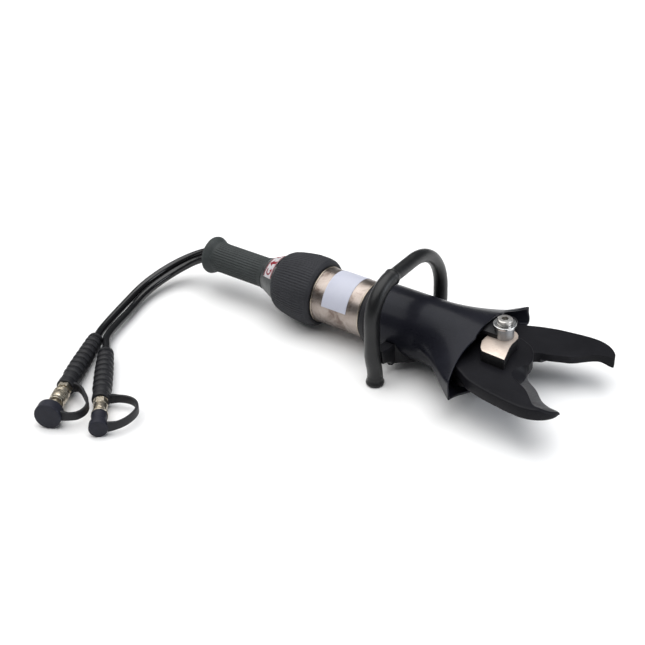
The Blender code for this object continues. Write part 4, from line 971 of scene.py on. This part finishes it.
# ---------------------------------------------------------------- carry handle
HANDLE_X, HANDLE_SIDE, FOOT_SIDE, HANDLE_TOP, LEAN = -157.0, 93.0, 86.0, 97.0, math.tan(math.radians(1))
BEND = {"near": 50.0, "far": 80.0}
LEG_END = -AXIS_Z + 6.5


def handle_point(y, z):
    rise = 0.0 if z < -15 else (z + 15) ** 2 / 60 if z < 15 else z
    return Vector((HANDLE_X - LEAN * rise, y, z))


def shoulder_line(tag):
    """Leg and bend of one side, from the foot to the bar, as distances from the middle."""
    bend = BEND[tag]
    top = HANDLE_TOP - bend
    line = []
    for z in [LEG_END, -47.0, -42.9, -42.4] + [-40 + (top + 40) * k / 40 for k in range(40)]:
        line.append((FOOT_SIDE + (HANDLE_SIDE - FOOT_SIDE) * ease(z, -44, -3), z))
    turn = [math.radians(90 * k / 48) for k in range(49)]
    return line + [(HANDLE_SIDE - bend + bend * math.cos(t), top + bend * math.sin(t)) for t in turn]


near_half, far_half = shoulder_line("near"), shoulder_line("far")
path = [(-y, z) for y, z in near_half]
bar = (path[-1][0], far_half[-1][0])
path += [(bar[0] + (bar[1] - bar[0]) * k / 20, HANDLE_TOP) for k in range(1, 20)]
path += list(reversed(far_half))
points = [handle_point(y, z) for y, z in path]
run = [0.0]
for a, b in zip(points, points[1:]):
    run.append(run[-1] + (b - a).length)
JOINT = run[len(near_half) + 1]  # the leg's sleeve ends at the near end of the bar


def handle_size(i):
    s = run[i]
    y, z = path[i]
    if z < -42.6:
        return 10.3 * mm  # inside the foot pad
    thick = 10.1 + 1.35 * (1 - ease(s, JOINT - 1.5, JOINT + 1.0))
    thick -= 0.25 * (1 - ease(z, -30, 10)) * (y < 0)
    thick += 0.7 * (1 - ease(z, 0, 70)) * (y > 0)
    thick += 1.1 * math.exp(-(((s - JOINT + 2.4) / 3.6) ** 2))
    return thick * mm


shape = sweep([p * mm for p in points], circle(1.0, 48), up=Vector((1, 0, 0)), scale=handle_size)
finished("handle_cover", shape, ["handle"], "tool_body", ["carry_handle"], UPRIGHT, 60)
for tag, side in (("near", -1), ("far", 1)):
    turned(
        f"handle_foot_pad_{tag}",
        [
            (0, 0), (0, 10.6, 0.5), (0.6, 11.9, 0.6), (2.2, 13.5, 1.2), (4.6, 13.5, 1.8), (8.6, 11.9, 2.4), (14.6, 11.3, 0.4), (15.0, 11.0, 0.2), (15.0, 10.5), (6.2, 10.5), (6.2, 0),
        ],
        "handle", nodes=[f"handle_foot_{tag}"], seg=64,
        matrix=Matrix.Translation(at(HANDLE_X, side * FOOT_SIDE, -AXIS_Z)),
    )
    refined(f"handle_bracket_{tag}", "bracket", "tool_body", 1.6, 4, 30)
    refined(f"bracket_screw_{tag}", "bracket", "tool_body", 0.6, 3, 40)
    # a cast rib runs from the bracket's foot into the side of the shroud
    shape = bmesh.new()
    corners = [(-149.5, 25.6, -41.2), (-149.5, 49.5, -41.2), (-149.5, 48.4, -6), (-123, 25.2, -41.4), (-123, 27.2, -40.2), (-136, 41.5, -37.5)]
    for x, y, z in corners:
        shape.verts.new((x * mm, side * y * mm, z * mm))
    bmesh.ops.convex_hull(shape, input=shape.verts)
    bmesh.ops.bevel(shape, geom=shape.edges[:], offset=0.9 * mm, segments=3, profile=0.5, affect="EDGES", clamp_overlap=True)
    finished(f"bracket_rib_{tag}", shape, ["bracket"], "tool_body", (), UPRIGHT, 40)

# ---------------------------------------------------------------- blades
HUB = [(35, -19), (23, -27), (8, -32), (-8, -31.5), (-22, -25), (-31, -11), (-37, 8), (-43.5, 30), (-46.5, 52), (-44, 67), (-35, 77)]
BACKS = {
    "near": [(-20, 86.5), (-4, 96.5), (14, 103), (33, 107.6), (53, 111), (72, 113.6), (89, 114.2), (102, 111.5), (113, 106), (121, 99), (126.5, 90)],
    "far": [(-20, 84), (-4, 91.5), (14, 98.5), (33, 104), (53, 107.5), (72, 110.2), (89, 111.2), (102.5, 109.4), (114, 104.6), (122.6, 98), (129, 90.3)],
}
TIPS = {"near": (128.5, 79.5), "far": (132.6, 79.8)}
EDGES = {
    "near": [(123.5, 75.6), (116.8, 74.6), (111, 73.9), (105.7, 72.2), (100, 69.6), (95.4, 66.6), (90, 61.6), (85, 56.2), (79.5, 50.6), (74.5, 46.2), (70.2, 43.2), (63, 38.4), (58.1, 34.0), (54.2, 28.8)],
    "far": [(126, 79.4), (118.5, 78.0), (109.5, 74.4), (101.4, 68.7), (94.4, 62.1), (88, 55.6), (82, 50.6), (74.5, 46.9), (67.1, 44.1), (58.6, 40.4), (49.6, 37.5)],
}
NOTCHES = {
    "near": [(51.6, 23.0), (50.8, 16.5), (50.4, 10.5), (48.9, 4.4), (45.6, -2.5), (42.4, -9)],
    "far": [(41, 36), (35.6, 33.8), (32, 29.8), (31.2, 24.4), (34.6, 19), (38.8, 14), (40.8, 8), (41.2, 1), (40.2, -9)],
}
CREASES = {
    "near": [(127.6, 82.8), (124.6, 87.5), (119.5, 93.8), (113, 99.6), (105.5, 102.4), (98, 100), (91, 93), (83.6, 84.6), (73, 74.6), (58.2, 66), (47, 60), (40.5, 51.5), (40.2, 41), (44, 31), (50.6, 22)],
    "far": None,
}
LAND, LAND_TIP = {"near": 0.9, "far": 11.0}, {"near": 0.0, "far": 5.4}
BLADE_T, GRIND, TIP_X = 17.0, 17.0, 128.5
NEAR_SHADE_X, NEAR_SHADE_SLOPE = 46.0, 0.25  # the near bevel shows bare ground metal ahead of this line; behind it, towards the notch, it is painted black as painted shade
TIP_T = {"near": 7.0, "far": 17.0}


def resampled(line, step):
    run = np.concatenate([[0], np.cumsum(np.linalg.norm(np.diff(line, axis=0), axis=1))])
    count = max(2, int(round(run[-1] / step)))
    want = np.linspace(0, run[-1], count + 1)
    return np.stack([np.interp(want, run, line[:, 0]), np.interp(want, run, line[:, 1])], 1)


def flat_line(points, step):
    return resampled(np.array([p[:2] for p in smooth([(x, y, 0) for x, y in points], 10)]), step)


def away(points, line):
    """Distance of points from a line, and how far along it (0 to 1) the nearest place is."""
    a, b = line[:-1], line[1:]
    d = b - a
    long = (d * d).sum(1)
    t = np.clip(((points[:, None] - a) * d).sum(2) / long, 0, 1)
    gap = np.linalg.norm(points[:, None] - (a + t[..., None] * d), axis=2)
    k = gap.argmin(1)
    run = np.concatenate([[0], np.cumsum(np.sqrt(long))])
    pick = np.arange(len(points))
    return gap[pick, k], (run[k] + t[pick, k] * np.sqrt(long[k])) / run[-1]


def inside_loop(points, loop):
    x, y = points[:, 0], points[:, 1]
    hit = np.zeros(len(points), bool)
    for (x0, y0), (x1, y1) in zip(loop, np.roll(loop, -1, 0)):
        crosses = (y0 > y) != (y1 > y)
        at_x = x0 + (y - y0) * (x1 - x0) / (y1 - y0 if y1 != y0 else 1e-12)
        hit ^= crosses & (x < at_x)
    return hit


def shifted(loop, d):
    """A closed loop moved inwards by d."""
    ahead = np.roll(loop, -1, 0) - np.roll(loop, 1, 0)
    n = np.stack([-ahead[:, 1], ahead[:, 0]], 1)
    n /= np.linalg.norm(n, axis=1)[:, None]
    trial = loop + n * 0.05
    if inside_loop(trial, loop).mean() < 0.5:
        n = -n
    return loop + n * d


def grind_width(u):
    """Width of the ground bevel along the edge, from the tip (0) to the notch (1)."""
    return GRIND * np.minimum(np.minimum(1.0, 0.3 + 0.7 * u / 0.22), (1.0 - u) / 0.14 + 0.02)


def blade(tag, side):
    layer = -side
    edge = flat_line([TIPS[tag]] + EDGES[tag] + NOTCHES[tag][:1], 1.5)
    rest = flat_line(NOTCHES[tag] + HUB + BACKS[tag] + [TIPS[tag]], 1.7)
    loop = np.concatenate([edge[:-1], rest[:-1]])
    round_out, round_flat = 2.0, 1.0
    hole = np.array(circle(15.8, 56))
    coords, edges = [], []

    def add_loop(pts, closed=True):
        base = len(coords)
        coords.extend(map(tuple, pts))
        count = len(pts)
        edges.extend((base + i, base + (i + 1) % count) for i in range(count if closed else count - 1))

    add_loop(loop)
    add_loop(hole)
    # the line where the ground bevel meets the outer face
    ahead = np.gradient(edge, axis=0)
    normal = np.stack([-ahead[:, 1], ahead[:, 0]], 1)
    normal /= np.linalg.norm(normal, axis=1)[:, None]
    if not inside_loop(edge[len(edge) // 2][None] + normal[len(edge) // 2] * 2, loop)[0]:
        normal = -normal
    if CREASES[tag]:
        crease = flat_line(CREASES[tag], 1.6)
    else:
        crease = edge + normal * grind_width(np.linspace(0, 1, len(edge)))[:, None]
        for _ in range(12):
            crease[1:-1] = (crease[:-2] + 2 * crease[1:-1] + crease[2:]) / 4
    gap_loop, _ = away(crease, np.concatenate([loop, loop[:1]]))
    keep = inside_loop(crease, loop) & (gap_loop > 0.8)
    crease_kept = crease[keep]
    for d in (0.35, 0.9, 1.9):
        ring = shifted(loop, d)
        gap, _ = away(ring, np.concatenate([loop, loop[:1]]))
        ring = ring[(gap > d * 0.8) & inside_loop(ring, loop)]
        near_crease, _ = away(ring, crease_kept)
        coords.extend(map(tuple, ring[near_crease > 0.5]))
    add_loop(crease_kept, False)
    if tag == "near":
        # this line bounds the painted shade on the near bevel: behind it the bevel takes the black blade paint
        add_loop(resampled(np.array([(NEAR_SHADE_X + NEAR_SHADE_SLOPE * y, y) for y in (20.0, 66.0)]), 1.6), False)
    low, high = loop.min(0), loop.max(0)
    xs, ys = np.meshgrid(np.arange(low[0], high[0], 3.2), np.arange(low[1], high[1], 3.2))
    xs[1::2] += 1.6
    grid = np.stack([xs.ravel(), ys.ravel()], 1)
    gap, _ = away(grid, np.concatenate([loop, loop[:1]]))
    near_crease, _ = away(grid, crease_kept)
    grid = grid[inside_loop(grid, loop) & (gap > 3.0) & (near_crease > 1.6) & (np.linalg.norm(grid, axis=1) > 17.6)]
    coords.extend(map(tuple, grid))
    result = delaunay_2d_cdt([Vector(c) for c in coords], edges, [], 0, 1e-5)
    flat = np.array([tuple(p) for p in result[0]])
    faces = np.array([f for f in result[2] if len(f) == 3])
    middle = flat[faces].mean(1)
    faces = faces[inside_loop(middle, loop) & ~inside_loop(middle, hole)]
    d_edge, u_edge = away(flat, edge)
    d_back, _ = away(flat, rest)
    taper = np.clip((TIP_X - flat[:, 0]) / 22.0, 0, 1)
    full = TIP_T[tag] + (BLADE_T - TIP_T[tag]) * taper * taper * (3 - 2 * taper)
    d_crease, _ = away(flat, crease_kept)
    ground = inside_loop(flat, np.concatenate([edge, crease[::-1]])) | (d_edge < 0.05)
    width = d_edge + d_crease
    swell = np.clip((flat[:, 0] - 110) / 20, 0, 1)
    land = np.minimum(LAND[tag] + LAND_TIP[tag] * swell * swell * (3 - 2 * swell), full - 0.6)
    slope = land + (full - land) * np.where(ground, d_edge / np.maximum(width, 1e-6), 1.0)
    outer = np.where(ground, slope, full)

    def shoulder(d, r):
        d = np.minimum(d, r)
        return r - np.sqrt(np.maximum(r * r - (r - d) ** 2, 0))

    outer = np.maximum(np.minimum(outer, full - shoulder(d_back, round_out)), 0.75)
    inner = 0.15 + shoulder(d_back, round_flat) * (d_edge > 0.3) * np.minimum(d_edge / 3.0, 1.0)
    inner = np.minimum(inner, outer - 0.4)
    shape = bmesh.new()
    top = [shape.verts.new((x * mm, side * y * mm, layer * z * mm)) for (x, y), z in zip(flat, outer)]
    bottom = [shape.verts.new((x * mm, side * y * mm, layer * z * mm)) for (x, y), z in zip(flat, inner)]
    uses = {}
    middle = flat[faces].mean(1)
    is_ground = inside_loop(middle, np.concatenate([edge, crease[::-1]]))
    # behind the line the near bevel gets the black blade paint instead of its ground finish, as painted shade
    if tag == "near":
        is_ground &= middle[:, 0] > NEAR_SHADE_X + NEAR_SHADE_SLOPE * middle[:, 1]
    for tri, g in zip(faces.tolist(), is_ground):
        shape.faces.new([top[i] for i in tri]).material_index = int(g)
        shape.faces.new([bottom[i] for i in reversed(tri)])
        for a, b in zip(tri, tri[1:] + tri[:1]):
            uses[(a, b)] = True
    for a, b in uses:
        if (b, a) not in uses:
            shape.faces.new((top[a], bottom[a], bottom[b], top[b]))
    bmesh.ops.delete(shape, geom=[v for v in shape.verts if not v.link_faces], context="VERTS")
    return finished(f"cutting_blade_{tag}", shape, ["blade", "ground"], f"{tag}_blade", [f"blade_{tag}"], UPRIGHT, 30)


blade("near", -1)
blade("far", 1)

plate = refined("thrust_plate", "bright", "near_blade", 0.4, 2, 30)
plate.data.materials.append(LOOK["dark_side"])
for face in plate.data.polygons:
    if face.normal.z < 0.6:
        face.material_index = 1
refined("thrust_washer", "steel", "far_blade", 0.5, 2, 40)

# ---------------------------------------------------------------- pivot, yoke and linkage
bolt = turned(
    "pivot_bolt_finished",
    [(62.5, 0), (62.5, 9.4, 0.5), (61.2, 10.8, 0.6), (55.0, 10.8, 0.4), (55.0, 9.0, 0.2), (-56.5, 9.0, 0.3), (-57.5, 8.0), (-57.5, 0)],
    "bolt", nodes=["pivot_bolt"], matrix=UPRIGHT, seg=72,
)
cut(bolt, prism(6, 5.2, 56.5, 68, math.radians(12)))
for tag, low, high in (("top", 51.0, 54.7), ("bottom", -46.5, -44.3)):
    turned(
        f"pivot_washer_{tag}_finished", [(low, 9.3, 0.3), (low, 16.2, 0.7), (high, 16.2, 0.9), (high, 9.3, 0.3)],
        "washer", nodes=[f"pivot_washer_{tag}"], matrix=UPRIGHT, seg=72,
    )
refined("pivot_nut", "bolt", "tool_body", 0.8, 3, 30)
yoke = refined("yoke", "yoke", "tool_body", 1.0, 3, 35)
yoke.data.materials.append(LOOK["bracket"])
yoke.data.materials.append(LOOK["bead"])
for face in yoke.data.polygons:
    spot = face.center / mm
    if spot.x < -205:
        face.material_index = 2
    elif math.hypot(spot.x, spot.y) > 14.3 or abs(spot.z) < 34 or spot.z < 44.5 and spot.x < -6:
        face.material_index = 1
refined("crosshead", "dark_side", "ram", 0.8, 2, 35)
for tag in ("near", "far"):
    refined(f"link_{tag}", "dark_side", f"{tag}_link", 0.8, 2, 35)

# ---------------------------------------------------------------- inner pieces keep their CAD shape
INNER = {
    "valve_spool": "steel", "drive_pin": "steel", "centring_spring": "steel", "rear_cap": "neck", "front_gland": "bronze", "rod_seal": "gland",
    "piston": "steel", "piston_seal": "gland", "piston_rod": "rod", "piston_nut": "steel", "crosshead_pin_near": "bolt", "crosshead_pin_far": "bolt",
    "tail_pin_near": "pin", "tail_pin_far": "pin", "pivot_bush": "bronze",
}
for node, look in INNER.items():
    NODES[node].data.materials.clear()
    NODES[node].data.materials.append(LOOK[look])

# ---------------------------------------------------------------- floor and light
f = Finish("pale_floor", None, None, spec=0.2)
haze = f.noise(1.3, 3, 0.5)
floor_look = f.done(f.mix(haze, (0.90, 0.90, 0.90), (0.93, 0.93, 0.93)), f.range(haze, 0.3, 0.7, 0.8, 0.9))
shape = bmesh.new()
bmesh.ops.create_grid(shape, x_segments=8, y_segments=8, size=7.0)
mesh = bpy.data.meshes.new("floor")
shape.to_mesh(mesh)
shape.free()
mesh.materials.append(floor_look)
floor = bpy.data.objects.new("floor", mesh)
scene.collection.objects.link(floor)
floor.location = (0, 0, -0.0002)

world = bpy.data.worlds.new("studio")
world.use_nodes = True
world.node_tree.nodes["Background"].inputs["Color"].default_value = (0.93, 0.96, 1.0, 1.0)
world.node_tree.nodes["Background"].inputs["Strength"].default_value = 0.16
scene.world = world


def softbox(name, place, size, power, colour=(1, 1, 1), target=AIM):
    data = bpy.data.lights.new(name, "AREA")
    data.shape = "RECTANGLE"
    data.size, data.size_y = size
    data.energy = power
    data.color = colour
    made = bpy.data.objects.new(name, data)
    scene.collection.objects.link(made)
    made.location = place
    made.rotation_euler = (Vector(target) - Vector(place)).to_track_quat("-Z", "Y").to_euler()
    return made


left = -right
sun = bpy.data.lights.new("sky_panel", "SUN")
sun.energy = 3.1
sun.angle = math.radians(85)
sun.color = (1.0, 0.99, 0.975)
sky = bpy.data.objects.new("sky_panel", sun)
scene.collection.objects.link(sky)
sky.rotation_euler = (-(left * 0.55 + Vector((0.05, 0.25, 1.3)))).to_track_quat("-Z", "Y").to_euler()
softbox("overhead", AIM + Vector((0.1, 0.3, 2.6)), (3.0, 2.6), 20, (0.95, 0.97, 1.0))
softbox("fill", AIM + right * 1.9 + back * 0.7 + Vector((0, 0, 0.45)), (1.2, 1.0), 16, (0.9, 0.94, 1.0))

scene.view_settings.view_transform = "Standard"
scene.view_settings.look = "None"
scene.view_settings.exposure = 0.0
scene.view_settings.gamma = 1.0
